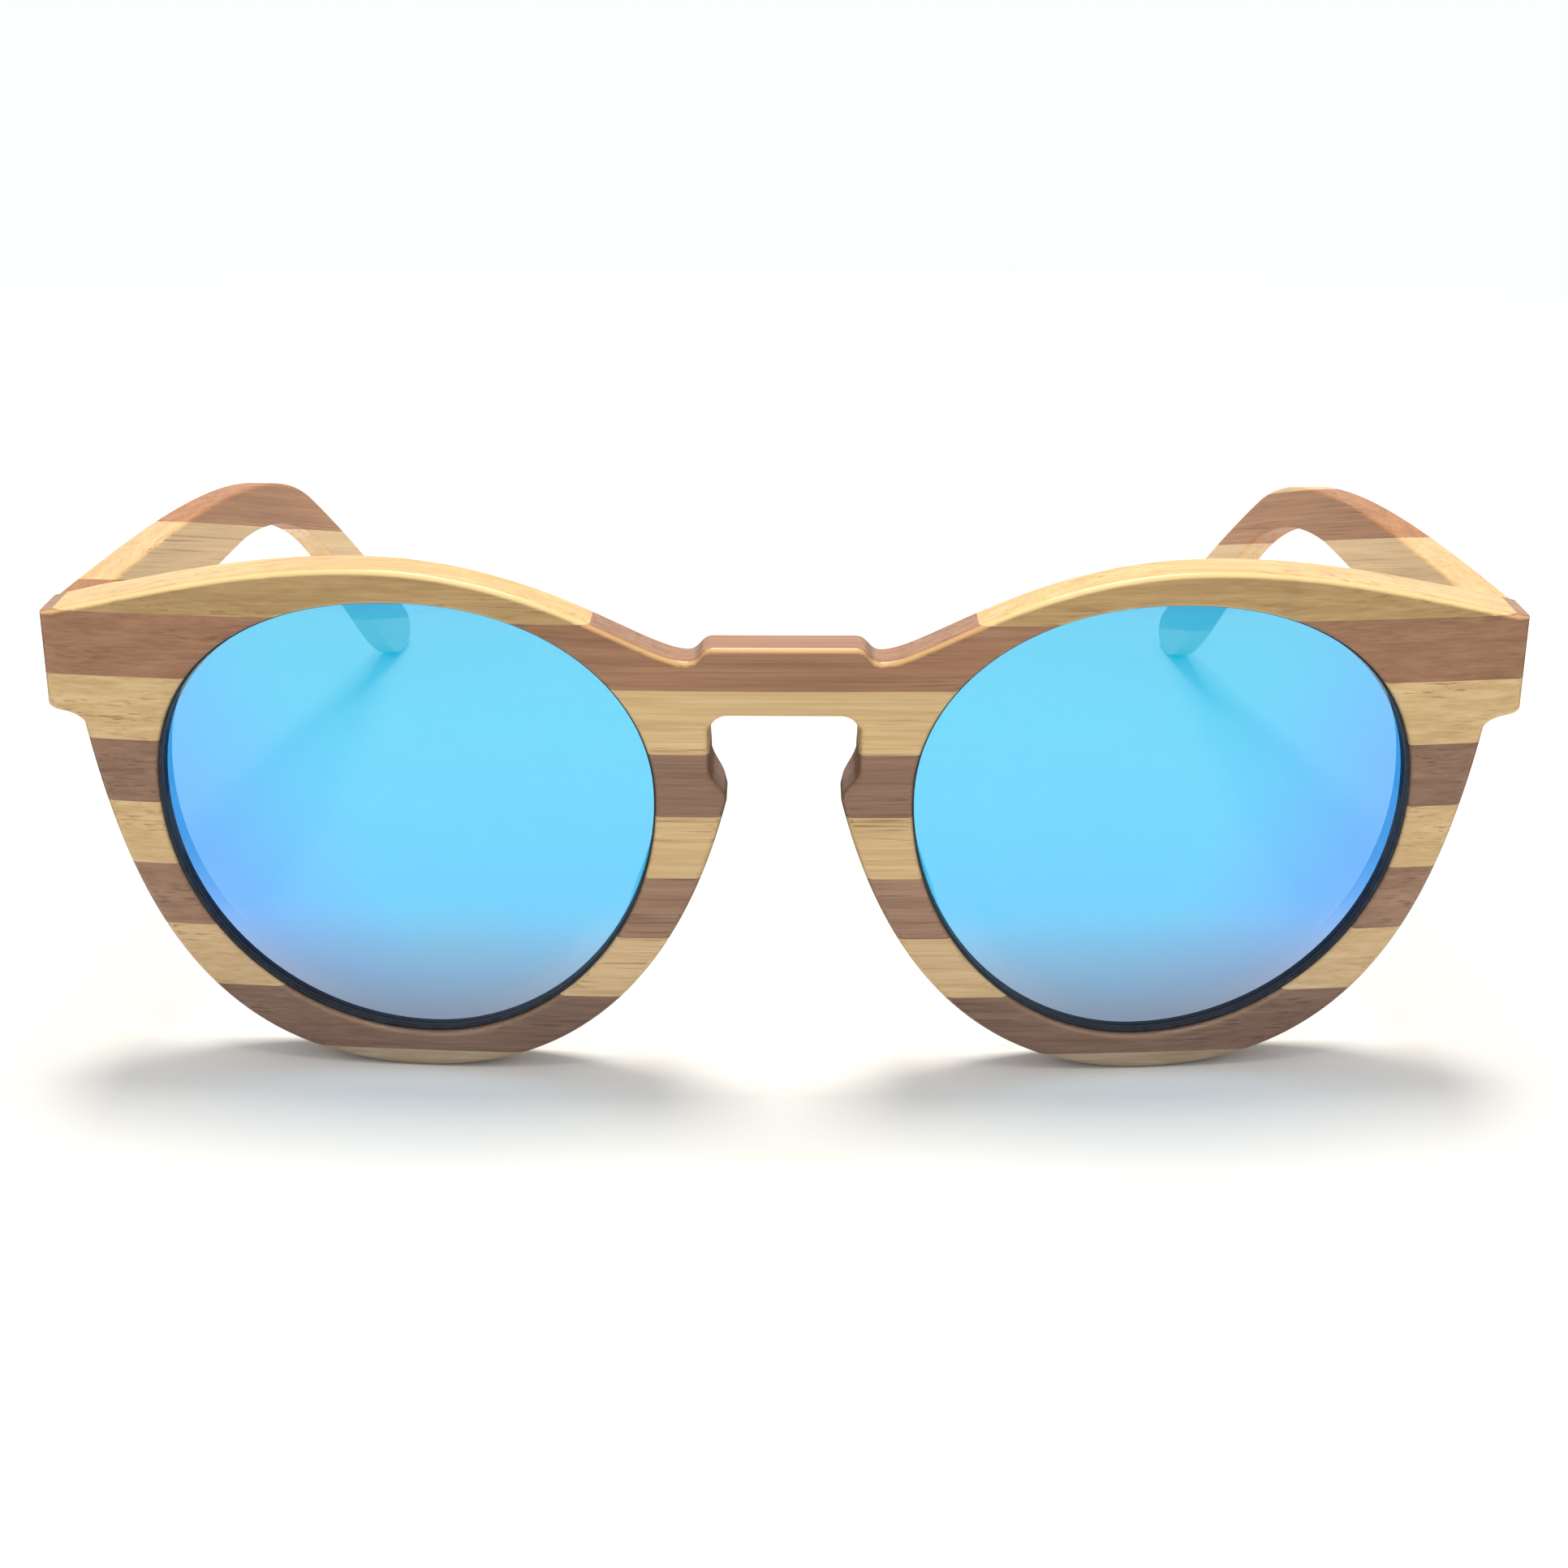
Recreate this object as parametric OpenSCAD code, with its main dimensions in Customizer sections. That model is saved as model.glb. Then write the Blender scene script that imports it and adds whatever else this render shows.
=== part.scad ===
// Laminated wooden sunglasses with a keyhole bridge.
// X runs across the face, the outer face looks towards -Y, the temples run towards +Y and +Z is up.
// The glasses stand open on their rims and temple tips, with z = 0 on the table below them.
// Left and right are the wearer's, so the left side is at +X.

/* [Front] */
// Width of the front across its end pieces
front_w = 145; // [140:0.5:150]
// Thickness of the front at the bridge
front_t = 4.8; // [4.5:0.1:5.5]
// Radius of the bowed outer face, seen from above
bow_r = 526; // [450:5:650]
// Radius of the inner face, tighter so that the front thickens towards its ends
inner_r = 360; // [320:5:400]
// Wood above the lens opening at the crest of the brow
brow_h = 3.3; // [2.8:0.1:4.5]
// How far the crest lies outward of the lens centre
crest_shift = 3; // [0:0.5:5]
// How far the brow falls from its crest to the end piece
end_drop = 5.3; // [4.5:0.1:6]
// Height of the end piece that carries the temple
end_h = 9.8; // [9:0.1:10.5]
// Wood under the lens opening
rim_bottom = 3.8; // [3.2:0.1:5]
// Wood beside the lens opening on the outer side
rim_side = 5.9; // [5:0.1:6.5]
// Wood beside the lens opening on the nose side
rim_nose = 7; // [6.5:0.1:7.5]

/* [Bridge] */
// How far the top of the bridge lies below the crest of the brow
bridge_drop = 7.2; // [6.5:0.1:8]
// Height of the bridge bar
bridge_h = 7; // [6:0.1:8]
// Width of the flat on top of the bridge
bridge_flat = 13.8; // [12:0.1:14.5]
// Depth of the dip between the bridge flat and the brow
dip_h = 1.4; // [0.6:0.1:1.8]
// Width of the keyhole under the bridge
keyhole_w = 14.6; // [13:0.1:16]
// Height of the keyhole above its shoulders
keyhole_h = 5; // [4:0.1:6]
// Corner radius of the keyhole
keyhole_r = 1.8; // [1:0.1:2.5]
// Radius of the carved nose pads
pad_r = 3.9; // [3.6:0.1:4.2]
// Length of the nose pads between the middles of their round ends
pad_l = 13.5; // [12:0.5:14]
// How far the nose pads spread outward over their length
pad_spread = 3.9; // [3:0.1:5]
// Height of the nose pads' middle line above the inner face at the bridge
pad_stand = 0.2; // [0:0.1:0.6]

/* [Lens] */
// Width of the lens opening
lens_w = 49.3; // [47:0.1:50]
// Height of the lens opening above its widest line
lens_top = 19.6; // [18.5:0.1:20.5]
// Height of the lens opening below its widest line
lens_drop = 25.7; // [24.5:0.1:27]
// Distance between the two lens openings
lens_gap = 25.2; // [24.5:0.1:27]
// How far the lowest point of the opening leans towards the nose
lens_lean = 1.5; // [0:0.1:2.5]
// Radius of the lens surface
lens_r = 260; // [220:5:320]
// Thickness of the lens
lens_t = 1.8; // [1.4:0.1:2]
// Depth of the lens face behind the outer face, at the middle of the lens
lens_recess = 0.6; // [0.5:0.1:1]
// Depth of the groove that holds the lens and its bead
groove_d = 0.9; // [0.7:0.05:1.2]
// Height of the black beads in front of the lens and behind it
bead_h = 0.8; // [0.5:0.1:0.9]
// How far the black beads stand into the opening
bead_in = 0.3; // [0.1:0.05:0.5]

/* [Laminate] */
// Height of the light strip that forms the brow
brow_strip = 5; // [4:0.1:5.5]
// Height of the light sliver under the rims
foot_strip = 1.9; // [1.2:0.1:2.6]
// Thickness of the strips in the temples
temple_strip_h = 6.3; // [6:0.1:6.8]
// Slope of the strips in a temple of the usual length, falling to the back, in degrees
temple_strip_slope = 15.6; // [13:0.1:18]
// Thickness of the light sliver that is left on the crown of the left temple
crown_strip = 0.7; // [0.5:0.05:1]
// How much higher the strips lie in the right temple
right_strip_shift = 1.4; // [1:0.1:1.8]

/* [Temples] */
// Thickness of a temple at its butt end
temple_t = 4; // [3.6:0.1:4.5]
// Thickness of a temple at its tip
tip_t = 3.2; // [2.8:0.1:3.6]
// Distance from the butt end to the ear bend
bend_y = 84; // [78:0.5:90]
// Height of the back edge at the ear bend
bend_z = 35.8; // [34.5:0.1:37]
// Distance from the butt end to the toe of the tip
temple_l = 131.5; // [126:0.5:140]
// Height of the tip's back corner above the table
tip_h = 6.2; // [5:0.1:7]
// How far the tip's back corner lies behind its toe
tip_over = 2; // [1:0.1:3]
// Angle by which each temple runs inward, in degrees
splay = 4; // [2:0.1:5]
// Step from the end piece's outer side to the temple's outer side
end_step = 0.1; // [0:0.05:0.4]
// Gap between the temple's butt and the seat on the front
butt_gap = 0.2; // [0.1:0.05:0.3]

/* [Hinges] */
// Radius of the hinge knuckles
knuckle_r = 1.3; // [1.2:0.05:1.4]
// Height of each outer knuckle
outer_knuckle_h = 1.8; // [1.5:0.1:2]
// Height of the middle knuckle
mid_knuckle_h = 2; // [1.6:0.1:2.4]
// Thickness of the hinge leaves
leaf_t = 0.9; // [0.7:0.05:1]
// Length of the leaf on the temple
temple_leaf_l = 10.5; // [9.5:0.1:12]
// Distance from the temple's inner face to the hinge axis
axis_in = 2; // [1.85:0.05:2.2]
// Distance from the temple's butt to the hinge axis
axis_back = 1.8; // [1.7:0.05:2.2]
// Radius of the hinge screw
pin_r = 0.6; // [0.5:0.05:0.7]
// Radius of the leaf screws
screw_r = 0.5; // [0.4:0.05:0.55]
// Length of the leaf screws below their heads
screw_l = 3; // [2.5:0.1:3.2]

/* [Hidden] */
$fn = 48;
light_wood = [0.80, 0.67, 0.46];
dark_wood = [0.60, 0.43, 0.34];
lens_blue = [0.42, 0.78, 0.98];
bead_black = [0.06, 0.06, 0.07];
hinge_steel = [0.72, 0.72, 0.74];
screw_steel = [0.80, 0.80, 0.80];

// Clearances
seat_clear = 0.05;
run_clear = 0.04;
turn_clear = 0.25;
knuckle_clear = 0.1;
cut = 1;
bow_fn = 720;
lens_fn = 360;

// Lens opening: four superellipse quarters about its widest line
lens_x = lens_gap / 2 + lens_w / 2;
lens_z = rim_bottom + lens_drop;
quarter_steps = 18;
upper_outer_power = 2.27;
upper_nose_power = 2.08;
lower_power = 2;

// Heights of the front
crest = [lens_x + crest_shift, lens_z + lens_top + brow_h];
bridge_z = crest[1] - bridge_drop;
keyhole_z = bridge_z - bridge_h;
end_top = crest[1] - end_drop;
end_bottom = end_top - end_h;
half_w = front_w / 2;

// Brow: from the bridge flat through the dip to the crest and on to the end piece
dip_w = 2.5;
dip = [bridge_flat / 2 + dip_w, bridge_z - dip_h];
dip_pull = 0.14;
crest_pull_in = 0.54;
crest_pull_out = 0.37;
end_pull = [-11.5, 2.6];
curve_steps = 16;
small_steps = 6;

// Notch under the end piece, and the rim from there round to the nose
rim_x = lens_x + lens_w / 2 + rim_side;
nose_x = lens_gap / 2 - rim_nose;
end_corner_r = 1.6;
notch_in = 3.5;
notch_drop = 1.4;
notch = [half_w - notch_in, end_bottom - notch_drop];
notch_pull = [1, 1.6];
rim_low = [lens_x - lens_lean / 2, 0];
rim_pull_in = 1.8;
rim_pull_z = 0.59;
rim_low_pull = 22.9;
nose_low_pull = 19.4;
nose_pull = [3.4, -13.7];
shoulder_z = keyhole_z - keyhole_h;
nose_point = [nose_x, lens_z];
nose_top_pull = [-0.3, 1.2];
shoulder_pull = [0, -1.9];

// Strips of the front, counted from the brow down
front_strips = 9;
strip_h = (crest[1] - brow_strip - foot_strip) / (front_strips - 2);
far = 400;

// Nose pads: capsules along the nose side of each rim, left standing behind the inner face
pad_lead = 0.5;
pad_rise = 3.5;
pad_back = 0.3;
pad_top = [nose_x + pad_r - pad_lead, front_t + pad_stand, lens_z + pad_rise];
pad_bottom = pad_top + [pad_spread, pad_back, -pad_l];

// Lens sphere, square to the bowed face at the middle of the lens
lens_mid_z = lens_z + (lens_top - lens_drop) / 2;
lens_turn = asin(lens_x / bow_r);
lens_face_y = bow_y(lens_x);
lens_centre = [
    lens_x - sin(lens_turn) * (lens_recess + lens_r),
    lens_face_y + cos(lens_turn) * (lens_recess + lens_r),
    lens_mid_z
];
plate_depth = 20;

// Temple: its inner face is the reference plane, and y runs along it from the butt
butt_x = half_w - end_step - temple_t;
seat_margin = 0.6;
seat_y = inner_y(butt_x - seat_margin);
butt_y = seat_y + butt_gap;
bend = [bend_y, bend_z];
toe = [temple_l, 0];
tip_back = [temple_l + tip_over, tip_h];
hook_front_before = 23.5;
hook_front_above = 7.4;
hook_front = [temple_l - hook_front_before, tip_h + hook_front_above];
neck_before = 32;
neck_above = 3.1;
neck = [bend_y - neck_before, bend_z + neck_above];
arm_top_pull = [26, 0.1];
bend_pull = [-20, 11.4];
hook_back_pull = [8, -4.2];
tip_back_pull = [-15.5, 10.8];
tip_end_pull = [4, -2.4];
toe_back_pull = [6, 0];
toe_front_pull = [-5.5, 0];
hook_front_pull = [10, -7.6];
bend_under_pull = [-9, 5.9];
neck_back_pull = [32, -1.4];
neck_front_pull = [-17, 0];
butt_low_pull = [15, 0];
butt_top = [0, end_top];
butt_low = [0, end_bottom];
arm_top = bezier(butt_top, butt_top + arm_top_pull, bend + bend_pull, bend, curve_steps);
hook_back = bezier(bend, bend + hook_back_pull, tip_back + tip_back_pull, tip_back, curve_steps);
tip_round = bezier(tip_back, tip_back + tip_end_pull, toe + toe_back_pull, toe, curve_steps);
hook_toe = bezier(toe, toe + toe_front_pull, hook_front + hook_front_pull, hook_front, curve_steps);
bend_under = bezier(hook_front, hook_front + bend_under_pull, neck + neck_back_pull, neck, curve_steps);
arm_low = bezier(neck, neck + neck_front_pull, butt_low + butt_low_pull, butt_low, curve_steps);
temple_profile = concat(
    [butt_top - [cut, 0]], arm_top, hook_back, tip_round, hook_toe, bend_under, arm_low,
    [butt_low, butt_low - [cut, 0]]
);
tip_reach = max([for (p = temple_profile) p[0]]);

// Glue lines of the temples, counted down from the crown, with the same fall over a temple of any length
usual_temple_l = 131.5;
strip_rise = tan(temple_strip_slope) * usual_temple_l / temple_l;
glue_pitch = temple_strip_h / cos(atan(strip_rise));
crown = max([for (p = arm_top) p[1] + strip_rise * p[0]]);
left_strips = 5;
right_strips = 4;

// Hinge axis and leaves
hinge_z = end_bottom + end_h / 2;
hinge_h = 2 * outer_knuckle_h + mid_knuckle_h + 2 * knuckle_clear;
axis_xy = [butt_x, butt_y] + turned([-axis_in, axis_back], splay);
front_leaf_mid = 3;
front_leaf_x = axis_xy[0] - front_leaf_mid;
front_leaf_turn = asin(front_leaf_x / inner_r);
front_leaf_in = 1.6;
front_leaf_out = (axis_xy[0] + knuckle_r - front_leaf_x) / cos(front_leaf_turn);
pocket_d = 0.4;
screw_head_r = 0.9;
screw_head_h = 0.4;
pin_head_r = 1.1;
pin_head_h = 0.5;
front_screw_x = -0.4;
front_screw_pitch = 3.2;
temple_screw_first = 3.4;
temple_screw_pitch = 4.2;

// Depth over everything, so that the part stands centred on its origin
depth = butt_y + tip_reach * cos(splay) + tip_t * sin(splay);

// Cubic curve from a to d with the handles b and c, without its last point
function bezier(a, b, c, d, steps) = [
    for (i = [0:steps - 1])
        let (t = i / steps, u = 1 - t)
            u * u * u * a + 3 * u * u * t * b + 3 * u * t * t * c + t * t * t * d
];

// Part of a superellipse about a centre, without its last point
function superarc(centre, a, b, power, from, to, steps) = [
    for (i = [0:steps - 1])
        let (t = from + (to - from) * i / steps)
            centre + [
                a * sign(cos(t)) * pow(abs(cos(t)), 2 / power),
                b * sign(sin(t)) * pow(abs(sin(t)), 2 / power)
            ]
];

function turned(p, angle) = [
    p[0] * cos(angle) - p[1] * sin(angle),
    p[0] * sin(angle) + p[1] * cos(angle)
];

// Y of the outer and of the inner face at a distance x from the middle
function bow_y(x) = bow_r - sqrt(bow_r * bow_r - x * x);
function inner_y(x) = front_t + inner_r - sqrt(inner_r * inner_r - x * x);

// Lens opening on the left side, larger all round by grow
function lens_outline(grow) =
    let (
        a = lens_w / 2 + grow,
        top = [lens_x, lens_z],
        low = [lens_x - lens_lean, lens_z]
    )
    concat(
        superarc(top, a, lens_top + grow, upper_outer_power, 0, 90, quarter_steps),
        superarc(top, a, lens_top + grow, upper_nose_power, 90, 180, quarter_steps),
        superarc(low, a - lens_lean, lens_drop + grow, lower_power, 180, 270, quarter_steps),
        superarc(low, a + lens_lean, lens_drop + grow, lower_power, 270, 360, quarter_steps)
    );

// Outline of the left half of the front, from the top of the bridge round to the keyhole
function half_outline() =
    let (
        flat_end = [bridge_flat / 2, bridge_z],
        end_corner = [half_w, end_top],
        reach_in = crest[0] - dip[0],
        reach_out = half_w - crest[0],
        end_low = [half_w, end_bottom + end_corner_r],
        shoulder = [keyhole_w / 2, shoulder_z],
        key_corner = [keyhole_w / 2 - keyhole_r, keyhole_z - keyhole_r]
    )
    concat(
        [[0, bridge_z]],
        bezier(flat_end, flat_end + [dip_w / 2, 0], dip - [dip_w / 2, 0], dip, small_steps),
        bezier(dip, dip + [dip_pull * reach_in, 0],
            crest - [crest_pull_in * reach_in, 0], crest, curve_steps),
        bezier(crest, crest + [crest_pull_out * reach_out, 0],
            end_corner + end_pull, end_corner, curve_steps),
        [end_corner],
        bezier(end_low, end_low - [0, end_corner_r], notch + notch_pull, notch, small_steps),
        bezier(notch, [rim_x - rim_pull_in, rim_pull_z * lens_z],
            rim_low + [rim_low_pull, 0], rim_low, 2 * curve_steps),
        bezier(rim_low, rim_low - [nose_low_pull, 0], nose_point + nose_pull, nose_point, 2 * curve_steps),
        bezier(nose_point, nose_point + nose_top_pull, shoulder + shoulder_pull, shoulder, small_steps),
        superarc(key_corner, keyhole_r, keyhole_r, 2, 0, 90, small_steps),
        [key_corner + [0, keyhole_r], [0, keyhole_z]]
    );

function mirrored(points) = [for (i = [len(points) - 1:-1:0]) [-points[i][0], points[i][1]]];

// Upper limit of front strip k, counted from the brow down
function strip_top(k) = k == 1 ? far : crest[1] - brow_strip - (k - 2) * strip_h;
function strip_bottom(k) = k == front_strips ? -far : strip_top(k + 1);

// Height at the butt of the glue line above temple strip k, counted from the bottom up
function glue_line(k, shift) = crown - crown_strip + shift - (left_strips - 1 - k) * glue_pitch;

// Stand the part centred on its origin, and mirror it for the right side
module place(side = 1) {
    translate([0, -depth / 2, 0])
        mirror([side < 0 ? 1 : 0, 0, 0])
            children();
}

// Upright prism of a drawing in X and Z, from y = 0 backwards
module through(length) {
    translate([0, length, 0])
        rotate([90, 0, 0])
            linear_extrude(length)
                children();
}

module outer_cylinder() {
    translate([0, bow_r, -cut])
        cylinder(r = bow_r, h = crest[1] + 2 * cut, $fn = bow_fn);
}

module inner_cylinder() {
    translate([0, front_t + inner_r, -cut])
        cylinder(r = inner_r, h = crest[1] + 2 * cut, $fn = bow_fn);
}

// Layer between two spheres about the lens centre, at heights above the lens face
module lens_layer(low, high) {
    translate(lens_centre) {
        difference() {
            sphere(r = lens_r + high, $fn = lens_fn);
            sphere(r = lens_r + low, $fn = lens_fn);
        }
    }
}

module lens_groove() {
    intersection() {
        through(plate_depth)
            polygon(lens_outline(groove_d));
        lens_layer(-lens_t - bead_h - 2 * seat_clear, bead_h + 2 * seat_clear);
    }
}

// Rod with round ends, turned about Z from the middle of its lower end
module capsule(radius, length) {
    rotate_extrude()
        intersection() {
            union() {
                circle(r = radius);
                translate([0, length])
                    circle(r = radius);
                translate([-radius, 0])
                    square([2 * radius, length]);
            }
            translate([0, -radius])
                square([radius, length + 2 * radius]);
        }
}

module nose_pad() {
    run = pad_bottom - pad_top;
    translate(pad_top)
        rotate([0, acos(run[2] / norm(run)), atan2(run[1], run[0])])
            capsule(pad_r, norm(run));
}

// Flat seat for the temple's butt
module temple_seat() {
    translate([butt_x - seat_margin, seat_y, end_bottom - cut])
        cube([half_w, plate_depth, end_h + end_drop]);
}

// Frame of the front leaf: x along the inner face, y out of it
module on_inner_face() {
    translate([front_leaf_x, inner_y(front_leaf_x), hinge_z])
        rotate([0, 0, front_leaf_turn])
            children();
}

module leaf_pocket() {
    on_inner_face()
        translate([-front_leaf_in - seat_clear, -pocket_d, -hinge_h / 2 - seat_clear])
            cube([front_leaf_in + front_leaf_out + 2 * seat_clear, leaf_t + cut, hinge_h + 2 * seat_clear]);
}

// Round shapes for the two front leaf screws, starting at a height above the pocket floor
module front_screw_rods(radius, from, to) {
    on_inner_face()
        for (i = [0, 1])
            translate([front_screw_x, -pocket_d + to, (i - 0.5) * front_screw_pitch])
                rotate([90, 0, 0])
                    cylinder(r = radius, h = to - from);
}

// Strip k between the outer and the inner face, with the pads left standing
module strip_blank(k) {
    has_pad = strip_top(k) > pad_bottom[2] - pad_r && strip_bottom(k) < pad_top[2] + pad_r;
    difference() {
        intersection() {
            through(plate_depth)
                difference() {
                    intersection() {
                        polygon(concat(half_outline(), mirrored(half_outline())));
                        translate([-far, strip_bottom(k)])
                            square([2 * far, strip_top(k) - strip_bottom(k)]);
                    }
                    polygon(lens_outline(0));
                    polygon(mirrored(lens_outline(0)));
                }
            outer_cylinder();
        }
        difference() {
            inner_cylinder();
            if (has_pad)
                for (side = [0, 1])
                    mirror([side, 0, 0])
                        nose_pad();
        }
    }
}

module front_strip(k) {
    has_hinge = strip_top(k) > end_bottom && strip_bottom(k) < end_top;
    place()
        difference() {
            strip_blank(k);
            for (side = [0, 1])
                mirror([side, 0, 0]) {
                    lens_groove();
                    if (has_hinge) {
                        temple_seat();
                        leaf_pocket();
                        front_screw_rods(screw_r + run_clear / 2, leaf_t - screw_l - cut, cut);
                    }
                }
        }
}

module lens(side) {
    color(lens_blue)
        place(side)
            intersection() {
                through(plate_depth)
                    polygon(lens_outline(groove_d - seat_clear));
                lens_layer(-lens_t, 0);
            }
}

// One bead in front of the lens and one behind it
module lens_bead(side) {
    color(bead_black)
        place(side)
            intersection() {
                through(plate_depth)
                    difference() {
                        polygon(lens_outline(groove_d - seat_clear));
                        polygon(lens_outline(-bead_in));
                    }
                union() {
                    lens_layer(seat_clear, seat_clear + bead_h);
                    lens_layer(-lens_t - seat_clear - bead_h, -lens_t - seat_clear);
                }
            }
}

// Frame of a temple: x outward from its inner face, y along it from the butt
module temple_frame() {
    translate([butt_x, butt_y, 0])
        rotate([0, 0, splay])
            children();
}

module temple_screw_rods(radius, from, to) {
    temple_frame()
        for (i = [0, 1])
            translate([from, axis_back + temple_screw_first + i * temple_screw_pitch, hinge_z])
                rotate([0, 90, 0])
                    cylinder(r = radius, h = to - from);
}

// Strip k of a temple, counted from the bottom up
module temple_strip(side, k, count, shift) {
    low = k == 1 ? -far : glue_line(k - 1, shift);
    high = k == count ? far : glue_line(k, shift);
    place(side)
        difference() {
            intersection() {
                temple_frame()
                    rotate([90, 0, 90])
                        linear_extrude(temple_t)
                            intersection() {
                                polygon(temple_profile);
                                polygon([
                                    [-far, low + far * strip_rise], [far, low - far * strip_rise],
                                    [far, high - far * strip_rise], [-far, high + far * strip_rise]
                                ]);
                            }
                temple_frame()
                    linear_extrude(2 * crest[1], center = true)
                        polygon([
                            [0, -cut], [temple_t, -cut], [temple_t, 0],
                            [tip_t, temple_l], [tip_t, tip_reach + cut], [0, tip_reach + cut]
                        ]);
                translate([0, butt_y, -cut])
                    cube([front_w, 2 * temple_l, 2 * crest[1]]);
            }
            temple_screw_rods(screw_r + run_clear / 2, -cut, screw_l - leaf_t + run_clear);
        }
}

// Knuckle drawn in plan about the hinge axis, with a root that runs straight to its leaf
module knuckle_plan(root) {
    circle(r = knuckle_r);
    translate([-knuckle_r, -root])
        square([2 * knuckle_r, root]);
}

module at_axis(z = 0) {
    translate([axis_xy[0], axis_xy[1], hinge_z + z])
        children();
}

module mid_knuckle_space(radius) {
    height = mid_knuckle_h + 2 * knuckle_clear;
    at_axis(-height / 2)
        cylinder(r = radius, h = height);
}

module hinge_front_leaf(side) {
    root = axis_xy[1] - inner_y(axis_xy[0]);
    color(hinge_steel)
        place(side)
            difference() {
                union() {
                    on_inner_face()
                        translate([-front_leaf_in, -pocket_d, -hinge_h / 2])
                            cube([front_leaf_in + front_leaf_out, leaf_t, hinge_h]);
                    for (z = [-hinge_h / 2, hinge_h / 2 - outer_knuckle_h])
                        at_axis(z)
                            linear_extrude(outer_knuckle_h)
                                knuckle_plan(root);
                }
                mid_knuckle_space(knuckle_r + turn_clear);
                at_axis(-hinge_h / 2 - cut)
                    cylinder(r = pin_r + run_clear / 2, h = hinge_h + 2 * cut);
                front_screw_rods(screw_r + run_clear / 2, -cut, leaf_t + cut);
            }
}

module hinge_temple_leaf(side) {
    color(hinge_steel)
        place(side)
            difference() {
                union() {
                    temple_frame()
                        translate([-leaf_t, axis_back, hinge_z - hinge_h / 2])
                            cube([leaf_t, temple_leaf_l, hinge_h]);
                    at_axis(-mid_knuckle_h / 2)
                        rotate([0, 0, splay + 90])
                            linear_extrude(mid_knuckle_h)
                                knuckle_plan(axis_in);
                }
                for (z = [-hinge_h / 2 - cut, mid_knuckle_h / 2 + knuckle_clear / 2])
                    at_axis(z)
                        cylinder(r = knuckle_r + turn_clear, h = outer_knuckle_h + knuckle_clear / 2 + cut);
                at_axis(-hinge_h / 2 - cut)
                    cylinder(r = pin_r + run_clear, h = hinge_h + 2 * cut);
                temple_screw_rods(screw_r + run_clear / 2, -leaf_t - cut, cut);
            }
}

module hinge_screw(side) {
    color(screw_steel)
        place(side) {
            at_axis(-hinge_h / 2)
                cylinder(r = pin_r, h = hinge_h);
            at_axis(hinge_h / 2)
                cylinder(r = pin_head_r, h = pin_head_h);
        }
}

module front_leaf_screws(side) {
    color(screw_steel)
        place(side) {
            front_screw_rods(screw_r, leaf_t - screw_l, leaf_t);
            front_screw_rods(screw_head_r, leaf_t, leaf_t + screw_head_h);
        }
}

module temple_leaf_screws(side) {
    color(screw_steel)
        place(side) {
            temple_screw_rods(screw_r, -leaf_t, screw_l - leaf_t);
            temple_screw_rods(screw_head_r, -leaf_t - screw_head_h, -leaf_t);
        }
}

module front_strip_1_light() { color(light_wood) front_strip(1); }
module front_strip_2_dark() { color(dark_wood) front_strip(2); }
module front_strip_3_light() { color(light_wood) front_strip(3); }
module front_strip_4_dark() { color(dark_wood) front_strip(4); }
module front_strip_5_light() { color(light_wood) front_strip(5); }
module front_strip_6_dark() { color(dark_wood) front_strip(6); }
module front_strip_7_light() { color(light_wood) front_strip(7); }
module front_strip_8_dark() { color(dark_wood) front_strip(8); }
module front_strip_9_light() { color(light_wood) front_strip(9); }
module left_temple_strip_1_light() { color(light_wood) temple_strip(1, 1, left_strips, 0); }
module left_temple_strip_2_dark() { color(dark_wood) temple_strip(1, 2, left_strips, 0); }
module left_temple_strip_3_light() { color(light_wood) temple_strip(1, 3, left_strips, 0); }
module left_temple_strip_4_dark() { color(dark_wood) temple_strip(1, 4, left_strips, 0); }
module left_temple_strip_5_light() { color(light_wood) temple_strip(1, 5, left_strips, 0); }
module right_temple_strip_1_light() {
    color(light_wood)
        temple_strip(-1, 1, right_strips, right_strip_shift);
}
module right_temple_strip_2_dark() {
    color(dark_wood)
        temple_strip(-1, 2, right_strips, right_strip_shift);
}
module right_temple_strip_3_light() {
    color(light_wood)
        temple_strip(-1, 3, right_strips, right_strip_shift);
}
module right_temple_strip_4_dark() {
    color(dark_wood)
        temple_strip(-1, 4, right_strips, right_strip_shift);
}

front_strip_1_light();
front_strip_2_dark();
front_strip_3_light();
front_strip_4_dark();
front_strip_5_light();
front_strip_6_dark();
front_strip_7_light();
front_strip_8_dark();
front_strip_9_light();
lens(1);  // left_lens
lens(-1);  // right_lens
lens_bead(1);  // left_lens_bead
lens_bead(-1);  // right_lens_bead
left_temple_strip_1_light();
left_temple_strip_2_dark();
left_temple_strip_3_light();
left_temple_strip_4_dark();
left_temple_strip_5_light();
right_temple_strip_1_light();
right_temple_strip_2_dark();
right_temple_strip_3_light();
right_temple_strip_4_dark();
hinge_front_leaf(1);  // left_hinge_front_leaf
hinge_front_leaf(-1);  // right_hinge_front_leaf
hinge_temple_leaf(1);  // left_hinge_temple_leaf
hinge_temple_leaf(-1);  // right_hinge_temple_leaf
hinge_screw(1);  // left_hinge_screw
hinge_screw(-1);  // right_hinge_screw
front_leaf_screws(1);  // left_front_leaf_screws
front_leaf_screws(-1);  // right_front_leaf_screws
temple_leaf_screws(1);  // left_temple_leaf_screws
temple_leaf_screws(-1);  // right_temple_leaf_screws
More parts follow.
